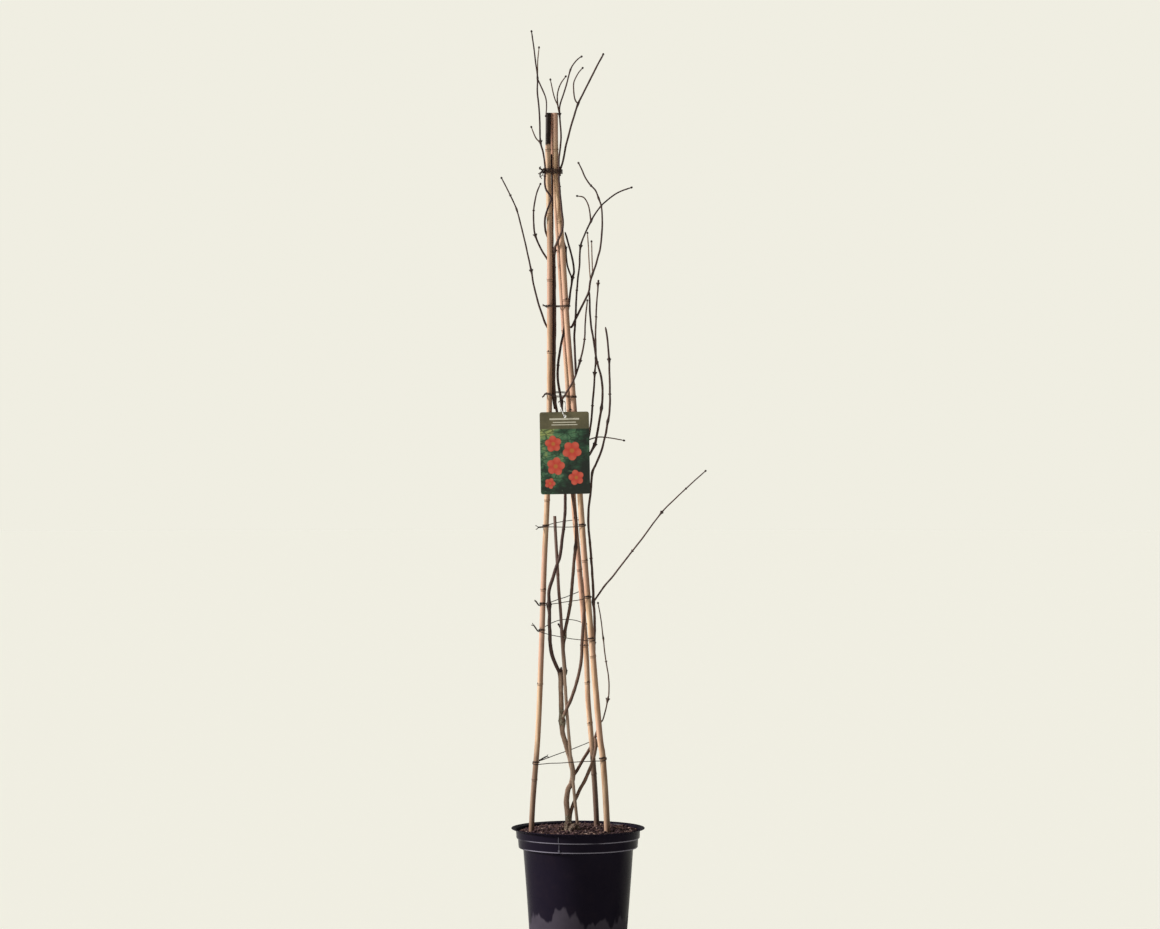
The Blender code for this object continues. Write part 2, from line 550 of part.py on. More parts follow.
def cane_shape(route, key):
    """Points and radii of a cane: tapered, with a raised ring at every node."""
    points = cane_points(route, CANE_FEET[key])
    thick, thin = CANE_RADII[key]
    bottom = points[0].z
    height = points[-1].z - bottom
    rings = []
    for row in CANE_NODES[key]:
        z = seen(VIEW_COLUMN, row, 0).z
        rings += [(z - CANE_RING_REACH, 1.0), (z, CANE_RING_SWELL), (z + CANE_RING_REACH, 1.0)]
    marks = [(point.z, 1.0) for point in points]
    taken = [z for z, _ in rings]
    marks = [mark for mark in marks if min(abs(mark[0] - z) for z in taken) > CANE_RING_REACH * 1.5]
    marks = sorted(marks + rings)
    places = [along_z(points, z) for z, _ in marks]
    radii = [(thick + (thin - thick) * (z - bottom) / height) * swell for z, swell in marks]
    return places, radii


def make_cane(name, route, key, group, finish):
    points, radii = cane_shape(route, key)
    cane = tube(name, points, radii, group, resolution=CANE_SIDES)
    cane.data.materials.append(finish)
    hollow = new_collection("hollow")
    top = points[-1]
    lean = (points[-1] - points[-2]).normalized()
    bore = [top - lean * CANE_HOLLOW_DEPTH, top + lean * CUTTER_OVERRUN]
    tube("bore", bore, [radii[-1] * CANE_HOLLOW] * 2, hollow, resolution=1)
    apply_boolean(cane, "DIFFERENCE", hollow)
    drop_collection(hollow)
    tidy_mesh(cane)
    smooth(cane)
    return cane


# Vine
def make_vine(group, finish):
    parts = new_collection("shoots")
    count = 0
    for route, root_mm, tip_mm in SHOOTS[1:]:
        count += 1
        points, radii = shoot_shape(route, root_mm, tip_mm)
        resolution = 1 if root_mm < 2.5 else 2
        tube(f"shoot_{count}", points, radii, parts, resolution)
        for root, tip, radius in bud_pairs(route, root_mm, tip_mm):
            count += 1
            middle = root.lerp(tip, 0.55)
            tube(f"bud_{count}", [root, middle, tip], [radius, radius * 0.9, radius * 0.35],
                 parts, resolution=0)
    for column, row, depth, radius in CROWN_LUMPS:
        count += 1
        ball(f"lump_{count}", seen(column, row, depth), radius * 0.001, parts)
    tube("root_stub", placed(ROOT_STUB), ROOT_STUB_RADII, parts, resolution=2)
    points, radii = shoot_shape(*SHOOTS[0])
    vine = tube("vine", points, radii, group, resolution=2)
    apply_boolean(vine, "UNION", parts, "MANIFOLD")
    drop_collection(parts)
    tidy_mesh(vine)
    vine.data.materials.clear()
    vine.data.materials.append(finish)
    smooth(vine, 50.0)
    return vine


def soil_holes(group):
    """Cutters a hair larger than what stands in the soil."""
    down = Vector((0.0, 0.0, CUTTER_OVERRUN))
    for route, key in ((CANE_LEFT, "left"), (CANE_RIGHT, "right"), (CANE_BACK, "back")):
        points, radii = cane_shape(route, key)
        low = [(place, radius) for place, radius in zip(points, radii)
               if place.z < CUTTER_TOP_Z]
        path = [low[0][0] - down] + [place for place, _ in low[1:]]
        tube(f"hole_{key}", path, [radius + FIT_GAP for _, radius in low], group,
             resolution=CANE_SIDES)
    stake = [Vector(STAKE_FOOT) - down] + placed(STAKE)[:2]
    tube("hole_stake", stake, [STAKE_R + FIT_GAP] * 3, group, resolution=2)
    for index, (column, row, depth, radius) in enumerate(CROWN_LUMPS):
        ball(f"hole_lump_{index}", seen(column, row, depth), radius * 0.001 + FIT_GAP, group)
    stub = placed(ROOT_STUB)
    stub[-1] -= down
    tube("hole_root", stub, [radius + FIT_GAP for radius in ROOT_STUB_RADII], group, 2)
    for route, root_mm, tip_mm in SHOOTS:
        if route in (TRUNK, PRUNED_STEM):
            points, radii = shoot_shape(route, root_mm, tip_mm)
            tube("hole_stem", points[:3], [radius + FIT_GAP for radius in radii[:3]], group, 2)


# Ties and label
def tie_path(left_row, right_row, back_row, extra):
    """A taut loop round the three canes, and round any stem held outside them."""
    canes = [(cane_points(route, CANE_FEET[key]), CANE_RADII[key], row)
             for route, key, row in ((CANE_LEFT, "left", left_row),
                                     (CANE_RIGHT, "right", right_row),
                                     (CANE_BACK, "back", back_row))]
    posts = []
    for points, (thick, thin), row in canes:
        z = seen(VIEW_COLUMN, row, 0).z
        centre = along_z(points, z)
        share = (z - points[0].z) / CANE_LENGTH
        posts.append((centre, thick + (thin - thick) * share))
    left, right, back = (post[0] for post in posts)
    normal = (right - left).cross(back - left)
    for column, depth, radius in extra:
        place = seen(column, left_row, depth)
        posts.append((place, radius * 0.001))
    ring = []
    for centre, radius in posts:
        reach = (radius + WIRE_R + FIT_GAP) / math.cos(math.pi / WIRE_BENDS)
        for index in range(WIRE_BENDS):
            angle = math.tau * index / WIRE_BENDS
            ring.append(Vector((centre.x + reach * math.cos(angle),
                                centre.y + reach * math.sin(angle))))
    hull = [ring[index] for index in convex_hull_2d(ring)]
    path = []
    for flat in hull:
        drop = normal.x * (flat.x - left.x) + normal.y * (flat.y - left.y)
        path.append(Vector((flat.x, flat.y, left.z - drop / normal.z)))
    start = min(range(len(path)), key=lambda index: path[index].x + 0.4 * path[index].y)
    return path[start:] + path[:start]


def knot_behind(path, left):
    """The loop begun and ended where the wire comes back to the left cane from behind."""
    behind = [index for index, place in enumerate(path) if place.y > left.y + 0.0015
              and abs(place.x - left.x) < 0.010]
    start = max(behind, key=lambda index: path[index].x)
    return path[start:] + path[:start + 1]


def make_tie(name, tie, group, finish):
    left_row, right_row, back_row, extra, ends = tie
    path = tie_path(left_row, right_row, back_row, extra)
    across, down = ends[0] * VIEW_STEP, -ends[1] * VIEW_STEP
    stand_off = Vector((-KNOT_STAND_OFF, -KNOT_STAND_OFF, 0.0))
    if across > 0:
        left = along_z(cane_points(CANE_LEFT, CANE_FEET["left"]),
                       seen(VIEW_COLUMN, left_row, 0).z)
        path = knot_behind(path, left)
        stand_off = Vector((KNOT_STAND_OFF, KNOT_STAND_OFF, 0.0))
    count = len(path)
    lift = WIRE_R * 1.35
    loop = [place + Vector((0, 0, lift - 2 * lift * index / (count - 1)))
            for index, place in enumerate(path)]
    first = loop[0] + stand_off
    last = loop[-1] + stand_off
    tip_a = first + Vector((across, -0.0010, down))
    tip_b = last + Vector((across * 0.4, -0.0030, -abs(down) * 0.4 - 0.004))
    points = [tip_a, first] + loop + [last, tip_b]
    tie_wire = tube(name, points, [WIRE_R] * len(points), group, resolution=1)
    tie_wire.data.materials.append(finish)
    smooth(tie_wire, 70.0)
    return tie_wire


def rounded_rectangle(spline, width, height, corner, steps=4):
    points = []
    for sign_x, sign_y, start in ((1, 1, 0), (-1, 1, 90), (-1, -1, 180), (1, -1, 270)):
        for index in range(steps + 1):
            angle = math.radians(start + 90 * index / steps)
            points.append((sign_x * (width / 2 - corner) + corner * math.cos(angle),
                           sign_y * (height / 2 - corner) + corner * math.sin(angle)))
    spline.points.add(len(points) - 1)
    for knot, (x, y) in zip(spline.points, points):
        knot.co = (x, y, 0.0, 1.0)
    spline.use_cyclic_u = True


def make_label(group, finish):
    middle = seen(*LABEL_MIDDLE)
    card = Matrix.Translation(middle) @ Matrix.Rotation(LABEL_LEAN, 4, "Y")
    card = card @ Matrix.Rotation(math.radians(90.0), 4, "X")
    hole = seen(*LABEL_HOLE, LABEL_MIDDLE[2])
    centre = card.inverted() @ hole
    curve = bpy.data.curves.new("label", "CURVE")
    curve.dimensions = "2D"
    curve.fill_mode = "BOTH"
    curve.extrude = LABEL_THICK / 2
    rounded_rectangle(curve.splines.new("POLY"), LABEL_WIDTH, LABEL_HEIGHT, LABEL_CORNER)
    ring = curve.splines.new("POLY")
    ring.points.add(11)
    for index, knot in enumerate(ring.points):
        angle = math.tau * index / 12
        knot.co = (centre.x + LABEL_HOLE_R * math.cos(angle),
                   centre.y + LABEL_HOLE_R * math.sin(angle), 0.0, 1.0)
    ring.use_cyclic_u = True
    item = bpy.data.objects.new("label", curve)
    item.matrix_world = card
    group.objects.link(item)
    label = mesh_of(item, group)
    label.data.materials.append(finish)
    return label


def make_strap(group, finish):
    points = placed(STRAP_LOOP)
    strap = tube("label_strap", points, [STRAP_R] * len(points), group, 1, closed=True)
    strap.data.materials.append(finish)
    smooth(strap, 70.0)
    return strap


def build():
    clear_scene()
    vine_group = new_collection("Trumpet vine")
    drains = new_collection("Drain hole cutters")
    plastic = material("black pot plastic", (0.012, 0.012, 0.018), 0.32)
    peat = material("peat potting soil", (0.045, 0.026, 0.022), 0.95)
    bamboo = material("dried bamboo", (0.52, 0.33, 0.17), 0.45)
    shaded = material("weathered bamboo", (0.42, 0.28, 0.16), 0.55)
    old_cane = material("grey stake bamboo", (0.36, 0.26, 0.19), 0.60)
    bark = material("vine bark", (0.070, 0.045, 0.032), 0.75)
    wire = material("dark wire", (0.030, 0.022, 0.020), 0.45, 0.6)
    card = material("printed label card", (0.30, 0.24, 0.10), 0.40)
    white = material("white strap plastic", (0.80, 0.80, 0.78), 0.45)

    smooth(make_pot(vine_group, drains, plastic), 30.0)
    holes = new_collection("Soil hole cutters")
    soil_holes(holes)
    smooth(make_soil(vine_group, holes, peat), 60.0)
    drop_collection(holes)
    make_cane("cane_left", CANE_LEFT, "left", vine_group, bamboo)
    make_cane("cane_right", CANE_RIGHT, "right", vine_group, bamboo)
    make_cane("cane_back", CANE_BACK, "back", vine_group, shaded)
    stake_points = [Vector(STAKE_FOOT)] + placed(STAKE)
    stake = tube("stake", stake_points, [STAKE_R] * len(stake_points), vine_group, 2)
    stake.data.materials.append(old_cane)
    smooth(stake, 60.0)
    make_vine(vine_group, bark)
    for index, tie in enumerate(TIES):
        make_tie(f"tie_{index + 1}", tie, vine_group, wire)
    make_label(vine_group, card)
    make_strap(vine_group, white)


build()
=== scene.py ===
"""A trumpet vine in winter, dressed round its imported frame: bark, buds, bamboo, peat, pot and label."""
import math
import random

import bmesh
import bpy
from mathutils import Matrix, Vector, noise
from mathutils.geometry import convex_hull_2d


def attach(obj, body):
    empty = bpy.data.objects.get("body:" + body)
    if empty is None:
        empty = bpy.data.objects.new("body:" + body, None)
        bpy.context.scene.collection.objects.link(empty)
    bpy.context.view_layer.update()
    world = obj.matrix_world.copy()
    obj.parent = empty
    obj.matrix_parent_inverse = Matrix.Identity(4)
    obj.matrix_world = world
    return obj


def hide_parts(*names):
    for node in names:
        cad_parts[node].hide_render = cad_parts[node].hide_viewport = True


MM = 0.001

# Studio: each light is (the way from the plant to it, power, spread in degrees, colour)
IMAGE_WIDTH = 1160
SENSOR_WIDTH = 36.0
BACKDROP = (0.870, 0.855, 0.760)
FLOOR_PAINT = (0.928, 0.930, 0.850)
FLOOR_R = 40.0
FLOOR_Z = -0.0002
ROOM_TINT = (1.0, 0.97, 0.93)
ROOM_GLOW = 0.15
LIGHTS = {
    "key": ((-0.92, -0.12, 0.42), 5.35, 14.0, (1.0, 0.98, 0.95)),
    "back": ((0.50, 0.80, 0.90), 0.4, 40.0, (1.0, 1.0, 1.0)),
}

# The pot, as the frame holds it
POT_HEIGHT = 0.228
POT_BASE_R = 0.087
BODY_TOP_R = 0.101
BODY_TOP_Z = 0.190
LOWER_COLLAR_R = 0.1105
UPPER_COLLAR_R = 0.1135
COLLAR_STEP_Z = 0.2095
LIP_R = 0.1225
WALL = 0.0014
FLOOR = 0.0022
DRAIN_HOLES = 6
DRAIN_R = 0.0065
DRAIN_CIRCLE_R = 0.064
DRAIN_CUT = 0.012
POT_STEPS = 144
SEAM_BEARINGS = (-108.0, 72.0)

# Soil: its crust is a turned sheet with loose crumbs and fibres on it
SOIL_TOP_Z = 0.2262
SOIL_EDGE_DROP = 0.0050
CRUST_R = UPPER_COLLAR_R - 0.0004 - WALL - 0.0008
CRUST_RINGS = 70
CRUST_STEPS = 220
CRUMBS = 1500
CRUMB_SEED = 7
FIBRE_R = UPPER_COLLAR_R - 0.006
FIBRES = 620
FIBRE_SEED = 23

# Canes (radius at the foot and at the top), stake, wire and strap
CANE_LENGTH = 1.50
CANE_RADII = {"left": (0.0050, 0.0050), "right": (0.0057, 0.0049), "back": (0.0051, 0.0044)}
STAKE_R = 0.0029
NODE_OFFSETS_MM = (-7, -5, -3.6, -2.6, -1.8, -1.0, -0.4, 0.3, 1.0, 1.8, 2.8, 4.2, 6)
HOLLOW_DEPTH = 0.012
WIRE_R = 0.0008
DRAWN_WIRE_R = WIRE_R * 0.95
WIRE_SIDES = 8
STRAP_R = 0.0008

# Routes are read off a level view from the front: column, row, and the depth in mm, negative
# in front of the pot's axis. One step of column or row is VIEW_STEP at the axis.
VIEW_STEP = 0.001835
VIEW_COLUMN = 580.0
VIEW_ROW = 464.5
VIEW_DISTANCE = 6.17
VIEW_X = 0.0037
VIEW_Z = POT_HEIGHT + 0.666
KNOT = 1.5


def seen(column, row, depth):
    """The point of the model that the front view shows at a column and row."""
    spread = VIEW_STEP * (1 + depth * MM / VIEW_DISTANCE)
    x = VIEW_X + (column - VIEW_COLUMN) * spread
    return Vector((x, depth * MM, VIEW_Z - (row - VIEW_ROW) * spread))


def row_z(row):
    """The height that a row shows at the pot's axis."""
    return seen(VIEW_COLUMN, row, 0).z


def placed(route):
    return [seen(*point[:3]) for point in route]


# Canes: where each leaves the soil, its bends and its top; its foot below the soil; the rows
# of its nodes; and the row and bearing in degrees of each trimmed twig's scar
CANE_ROUTES = {
    "left": [
        (531.6, 831, -30), (537.9, 735, -27), (541.4, 650, -24), (544, 570, -21), (547.3, 495, -18),
        (549.3, 408, -15), (549.7, 320, -12), (549.6, 235, -9), (548.2, 165, -6), (548.4, 113, -4)],
    "right": [
        (607.2, 829, -50), (603, 760, -46), (599.7, 735, -44), (592.4, 650, -38), (585.5, 570, -33),
        (580, 495, -28), (574, 408, -23), (567.5, 330, -17), (562.4, 250, -12), (556.2, 170, -7),
        (555.2, 113, -4)],
    "back": [
        (596.8, 828, 25), (593, 760, 23), (591, 735, 23), (588, 700, 22), (586, 650, 21),
        (579.5, 570, 19), (573.5, 500, 17), (569, 408, 15), (564, 330, 14), (559, 250, 11),
        (553.6, 170, 10), (550.4, 113, 8)],
}
CANE_FEET = {"left": (-0.078, -0.027), "right": (0.058, -0.053), "back": (0.037, 0.029)}
CANE_NODES = {
    "left": (778, 683, 589, 500, 424, 352, 280, 214, 150),
    "right": (757, 655, 560, 470, 385, 300, 222, 150),
    "back": (775, 724, 683, 646, 570, 490, 410, 330, 250, 180),
}
CANE_SCARS = {
    "left": ((683, -60), (589, 20), (352, -30)),
    "right": ((757, -20), (560, 35), (300, 15)),
    "back": ((724, -15), (683, 10), (646, -25), (410, 20)),
}
STAKE = [
    (577.5, 826, -22), (574.5, 797, -22), (572.9, 780, -22), (570.4, 754, -22), (567.8, 723, -22),
    (566.4, 704, -22), (564.4, 674, -22), (562.5, 646, -22), (560.5, 610, -22), (558.7, 590, -22),
    (557.4, 565, -22), (555.6, 535, -22), (554.7, 516, -22)]
STAKE_FOOT = (0.002, -0.022, 0.170)
STAKE_RINGS = (0.17, 0.33, 0.50, 0.66, 0.83)

# Vine: a fourth value marks a swollen node and says how much wider it is
TRUNK = [
    (568.5, 826, -22), (567.5, 815, -20), (566.6, 800, -16), (568, 790, -13), (571.6, 783, -12),
    (573, 775, -12), (571.2, 763, -12), (568, 752, -13), (564.8, 740, -16), (562.2, 731, -18),
    (561.8, 722, -18, KNOT), (561.2, 710, -18), (561, 700, -18), (560.9, 690, -18), (560.6, 680, -18),
    (560.2, 672, -18, 1.25)]
LEFT_LEADER = [
    (560.4, 675, -18), (556, 665, -20), (552, 655, -22), (550, 640, -23), (549.5, 620, -25),
    (548.9, 605, -27, KNOT), (549.3, 590, -29), (552, 580, -31), (556, 568, -32), (560, 555, -31),
    (562, 540, -28), (564, 525, -24), (565, 510, -22), (565.4, 495, -20), (565.5, 475, -19),
    (565, 450, -17), (563.5, 425, -16), (562, 409, -15), (561.7, 401, -14, KNOT), (559.4, 390, -14),
    (557.8, 376, -13), (558.4, 361, -10), (560.6, 347, -7), (563.6, 332, -2), (566.5, 318, 0),
    (568.6, 306, -4), (570.2, 293, -7), (571.5, 285, -8), (572.2, 278, -8, KNOT), (574, 272, -8),
    (573.2, 263, -8), (571.5, 255, -8), (569.3, 247, -7), (567.4, 240, -6), (565, 232, -3)]
MIDDLE_LEADER = [
    (560.8, 688, -17), (562.8, 680, -13), (564.6, 672, -13, KNOT), (563.9, 660, -14), (563.2, 648, -14),
    (564.2, 636, -15, KNOT), (566.2, 626, -17), (569, 612, -20), (570.7, 602, -21), (571.7, 590, -21),
    (572.7, 578, -21), (573.7, 565, -21), (575.5, 547, -21, 1.35), (576.4, 530, -20), (575.4, 515, -19),
    (572.8, 497, -18), (570, 480, -17), (566, 455, -16), (561, 430, -15), (557, 411, -14),
    (554.9, 399, -14, KNOT), (554.2, 383, -13), (554.4, 360, -13), (555, 335, -12), (555, 305, -11),
    (554.7, 275, -9), (554.6, 251, -12, KNOT), (557, 243, -18), (560, 236, -20), (562.2, 230, -19.5),
    (562.8, 222, -19.5), (561.9, 212, -19.5), (560.6, 200, -19), (559.5, 187, -18), (559, 175, -16.5),
    (562.7, 162, -11), (565.7, 147, -9), (569.5, 131.6, -8), (573.4, 118, -8), (578, 104, -8, KNOT),
    (582.5, 95, -8), (587, 85.7, -8), (596.3, 67.3, -8), (603.2, 54.3, -8)]
INNER_LEADER = [
    (561.9, 720, -19), (564, 715, -27), (567, 708, -31), (570, 702, -29), (573, 693.5, -26),
    (576.5, 683, -24), (579.7, 670.5, -24), (581.5, 658, -24), (582.2, 641.5, -24), (583, 629, -24),
    (584, 616, -23), (584.6, 605, -22), (584.6, 590, -21), (584.3, 575, -18), (583.6, 560, -15),
    (581.8, 540, -14), (580, 522, -12), (579.6, 500, -10), (580.2, 482, -9), (583.5, 466, -11),
    (587.5, 457.5, -14), (590.5, 453, -16), (594.5, 445, -18, KNOT), (597, 435, -18), (599, 422, -18),
    (601.5, 408, -18, KNOT), (602.5, 397, -18), (602.3, 386, -18), (600.8, 375, -18), (598.2, 366, -18),
    (596, 356, -17), (593.5, 340, -16), (591.2, 327, -15), (590, 312, -14), (589.2, 291, -14)]
RIGHT_LEADER = [
    (573.2, 776, -12), (576.5, 771, -8), (580, 765, 0), (584, 758, 13), (588, 752, 28), (592, 744, 37),
    (596, 735, 36), (599.6, 723, 28, 1.3), (598.8, 712, 18), (597, 700, 8), (595.2, 680, -4),
    (594.2, 660, -10), (594.2, 642, -12), (594.6, 628, -14), (594.4, 614, -22), (593.4, 602, -30, KNOT),
    (593.2, 588, -30), (592.2, 572, -29), (590.8, 553, -28), (589.4, 538, -28), (588.4, 524, -28),
    (588.4, 510, -27), (589.7, 500, -27), (591, 488, -27), (592.3, 473, -27, 1.3), (596, 464, -27),
    (600, 455, -26), (603, 445, -25), (606, 432, -24), (608, 421, -24, KNOT), (609.5, 410, -24),
    (610, 395, -24), (609.5, 376, -24), (609, 360, -24, KNOT), (607.5, 340, -24), (605.5, 327, -24)]
PRUNED_STEM = [
    (569.5, 822, -22), (571.3, 810, -15), (575, 800, -11), (580, 789, -9), (585, 780, -7),
    (589.5, 770, -4), (592.5, 762, -2), (594.7, 754, -1), (596, 745, 0), (595.5, 738, 0)]
LONG_SIDE_SHOOT = [
    (593.5, 602, -30), (603, 588, -32), (613.2, 575.7, -34), (628.5, 555.8, -36), (640.7, 540.5, -38),
    (661.4, 512.8, -40, KNOT), (677, 497, -41), (691.2, 483.7, -42), (705.5, 471, -42)]
THIN_RIGHT_SHOOT = [
    (599.6, 723, 28), (602.5, 720.5, 24), (605.3, 711, 19), (607.8, 699.7, 16, 2.2), (608.9, 693, 15),
    (608.6, 678, 14), (605.5, 658, 12), (603.2, 638.5, 9, 1.8), (601, 620, 4), (598, 603, -2)]
LABEL_SHOOT = [
    (586, 441, -13), (592, 438.6, -14), (599.4, 437, -15), (610, 438, -16), (619.3, 439.6, -17),
    (624, 440.5, -17)]
RIGHT_UPPER = [
    (583.5, 466, -11), (586, 450, -12), (588, 440, -13), (590, 430, -13), (592, 414, -13),
    (593, 399, -14), (594.2, 384, -14), (594.7, 373.6, -15, KNOT), (596, 358, -17, 1.4),
    (595.4, 335, -17), (596, 319.5, -17), (596.6, 304, -17), (597.8, 290, -17), (598.1, 284, -17, 1.6),
    (598.4, 281, -17)]
CROSSING_SHOOT = [
    (565, 322, -1), (568.5, 326, -1), (571.5, 327, -4), (575, 320, -9), (580, 310, -12),
    (585, 300, -14), (589, 291, -14), (590.4, 281, -14), (592.7, 273.5, -14, 1.3), (595.6, 266, -14),
    (598, 256.7, -14), (600.4, 246.8, -14), (602.3, 226, -14), (601.5, 208, -14),
    (598.5, 198, -14, KNOT), (595.5, 190.5, -14), (590, 184.5, -14), (585, 177, -14), (582, 170, -14),
    (578.5, 163, -14)]
FRONT_SHOOT = [
    (561.7, 400, -14), (563.2, 397.5, -22), (565, 395, -28), (567.4, 390.4, -31), (570.5, 386, -32),
    (573.6, 380, -31), (576.6, 372.8, -28), (580, 361.4, -24, KNOT), (583, 349, -20),
    (584.6, 337.7, -18), (585.4, 319.5, -17), (587.3, 300.5, -17)]
HIGH_SHOOT = [
    (575.8, 375, -29), (575.2, 360, -25), (574.6, 347, -21), (574.4, 335, -18), (575.6, 315, -16),
    (576.2, 300, -15), (577, 289, -14), (578, 277, -13), (579.5, 265, -13), (580.4, 246.5, -12, KNOT),
    (585, 233.8, -12), (588, 227, -12), (590.8, 221.5, -12, KNOT), (594, 215.5, -12), (600.9, 206, -12),
    (607, 200.5, -12), (614.7, 194.4, -12), (622.3, 190.6, -12), (631.5, 187.5, -12)]
HIGH_SHOOT_TWIG = [
    (590.8, 221.5, -12), (589.4, 209.7, -12), (587, 202, -12), (583.4, 197.2, -12), (577.2, 196, -12)]
INNER_PRONG = [
    (572.2, 278, -8), (569.7, 273, -7), (567.6, 266, -6), (566.4, 258, -5), (565.7, 248.3, -4, KNOT),
    (563.6, 240, -2), (562.4, 235, -1)]
LEFT_SHOOT = [
    (554.9, 336, -12), (552.5, 334, -3), (549.5, 331, 0), (546, 325, -3), (542.8, 316.8, -8),
    (538.2, 303, -10), (533.6, 284.7, -12), (531.3, 271, -12, KNOT), (525.9, 246.4, -13),
    (521.3, 226.5, -14), (516.7, 209.7, -15, KNOT), (510.6, 196, -16), (501.5, 178, -16)]
LEFT_INNER_SHOOT = [
    (554.6, 270, -8), (552.5, 266, 1), (549.5, 262, 4), (546, 257, 0), (541.2, 249.5, -6),
    (535.4, 235.7, -8, KNOT), (533.9, 225, -8), (533.6, 211, -8), (536.4, 194, -8), (540.4, 184, -8)]
TOP_LEFT_LEADER = [
    (554.6, 252, -6), (552, 246, 2), (549, 240, 4), (546, 233, 1), (544.9, 226, -6), (545, 219, -12),
    (546.5, 212, -17), (549, 205, -18), (551.3, 199, -18), (549.5, 194.5, -18), (546.3, 190, -17),
    (544.8, 184, -14), (544.9, 175, -14), (545, 166.8, -14), (543, 152, -13), (540.5, 142, -13, KNOT),
    (539.7, 122.5, -13), (538.9, 107, -13), (537.4, 93, -13), (537.4, 78, -13, KNOT),
    (535.9, 64.3, -13), (533.6, 45.9, -13), (531.5, 31.4, -13)]
TOP_DROOPING_TWIG = [
    (537.4, 79, -13), (541.2, 87, -14), (545.8, 98, -14), (546.6, 107, -14), (545.8, 116, -14)]
TOP_FINE_TWIG = [(537.4, 78, -13), (537.8, 61, -13), (539, 47.5, -13)]
TOP_SIDE_TWIG = [(540.5, 142, -13), (537, 139.5, -13), (534.3, 134.7, -13), (531.3, 127, -13)]
TOP_HOOK_TWIG = [
    (578, 104, -8), (575, 99.5, -8), (573.7, 90.3, -8), (574, 82, -8), (578, 73.5, -8), (582.6, 68, -8)]
TOP_RIGHT_LEADER = [
    (560, 176, -15), (559, 166, -15), (559, 157, -14), (560.5, 145.4, -11), (561, 136, -9),
    (560.4, 125, -8), (559.6, 114.5, -8, KNOT), (559.8, 106, -8), (562.7, 96.4, -8), (566.5, 84.2, -8),
    (570.3, 70.4, -8, KNOT), (573.4, 64.3, -8), (578, 59, -8), (581.5, 56.6, -8)]
TOP_INNER_TWIG = [
    (559.6, 114, -8), (557.8, 105.6, -8), (557.3, 96, -8), (558.6, 89, -8), (561.4, 82.4, -8),
    (565.7, 76.5, -8)]
TOP_UPRIGHT_TWIG = [(557.7, 105, -8), (555.3, 100, -8), (552.9, 91.8, -8), (550.4, 79.6, -8)]
FINE_TWIG_ONE = [(592.7, 274, -14), (592, 258, -14), (591.5, 241.5, -14)]
FINE_TWIG_TWO = [(590.4, 280, -14), (589.3, 266, -14), (588.5, 250, -14), (587.5, 233, -14)]
SIDE_BUD_TWIG = [(565.2, 636, -15), (562, 631, -13), (558.6, 624.5, -15)]
PRUNED_SPUR = [(560.3, 674, -18), (561.2, 667, -17)]
MOSSY_STUB = [(561.9, 722, -18), (559.6, 718, -20)]

OLD_RUNNER = [
    (555.2, 409, -11), (553.4, 398, -11), (552.2, 380, -11), (552.4, 352, -11), (552.9, 325, -10),
    (553.0, 290, -8), (553.2, 262, -4), (552.5, 240, -1), (552.5, 220, 1), (552.4, 200, 1),
    (552.2, 184, 0), (551.9, 168, 0), (551.6, 154, 0)]
# Each shoot: route, radius at its root and at its tip in mm, and how pale its bark is
SHOOTS = [
    (TRUNK, 4.7, 4.0, 0.88), (LEFT_LEADER, 3.2, 1.5, 0.30), (MIDDLE_LEADER, 2.9, 1.4, 0.48),
    (INNER_LEADER, 2.9, 1.5, 0.52), (RIGHT_LEADER, 2.7, 1.5, 0.50), (PRUNED_STEM, 3.0, 2.8, 0.66),
    (LONG_SIDE_SHOOT, 1.6, 0.9, 0.30), (THIN_RIGHT_SHOOT, 1.2, 0.9, 0.42),
    (LABEL_SHOOT, 1.1, 0.8, 0.42), (RIGHT_UPPER, 1.9, 1.2, 0.30), (CROSSING_SHOOT, 1.9, 1.1, 0.26),
    (FRONT_SHOOT, 1.8, 1.1, 0.32), (HIGH_SHOOT, 1.9, 1.1, 0.16), (HIGH_SHOOT_TWIG, 1.2, 0.9, 0.46),
    (INNER_PRONG, 1.5, 1.2, 0.24), (LEFT_SHOOT, 1.8, 1.0, 0.18), (LEFT_INNER_SHOOT, 1.7, 1.1, 0.22),
    (TOP_LEFT_LEADER, 1.8, 1.1, 0.14), (TOP_DROOPING_TWIG, 1.2, 0.9, 0.24),
    (TOP_FINE_TWIG, 1.0, 0.8, 0.56), (TOP_SIDE_TWIG, 1.1, 0.8, 0.42), (TOP_HOOK_TWIG, 1.2, 0.9, 0.34),
    (TOP_RIGHT_LEADER, 1.6, 1.0, 0.26), (TOP_INNER_TWIG, 1.2, 0.9, 0.42),
    (TOP_UPRIGHT_TWIG, 1.0, 0.8, 0.50), (FINE_TWIG_ONE, 1.0, 0.8, 0.66), (FINE_TWIG_TWO, 1.0, 0.8, 0.66),
    (SIDE_BUD_TWIG, 1.6, 1.3, 0.20), (PRUNED_SPUR, 2.6, 2.0, 0.50), (MOSSY_STUB, 2.4, 1.8, 0.60),
    (OLD_RUNNER, 2.3, 1.5, 0.20),
]

VINE_SEED = 41
SHOOT_EXTRA_R = 0.00015
STEM_MM = 2.5

# Crown at the soil: rounded lumps of old wood and the root stub below (column, row, depth, mm)
CROWN_LUMPS = [
    (568.6, 825.5, -24, 8.8), (574.2, 828, -36, 8.6), (571.6, 830, -40, 6.6), (577.6, 829.5, -39, 5.6),
    (567.2, 829, -35, 5.4)]
ROOT_STUB = [(568.6, 824, -24), (569, 836, -25), (570, 846, -27)]

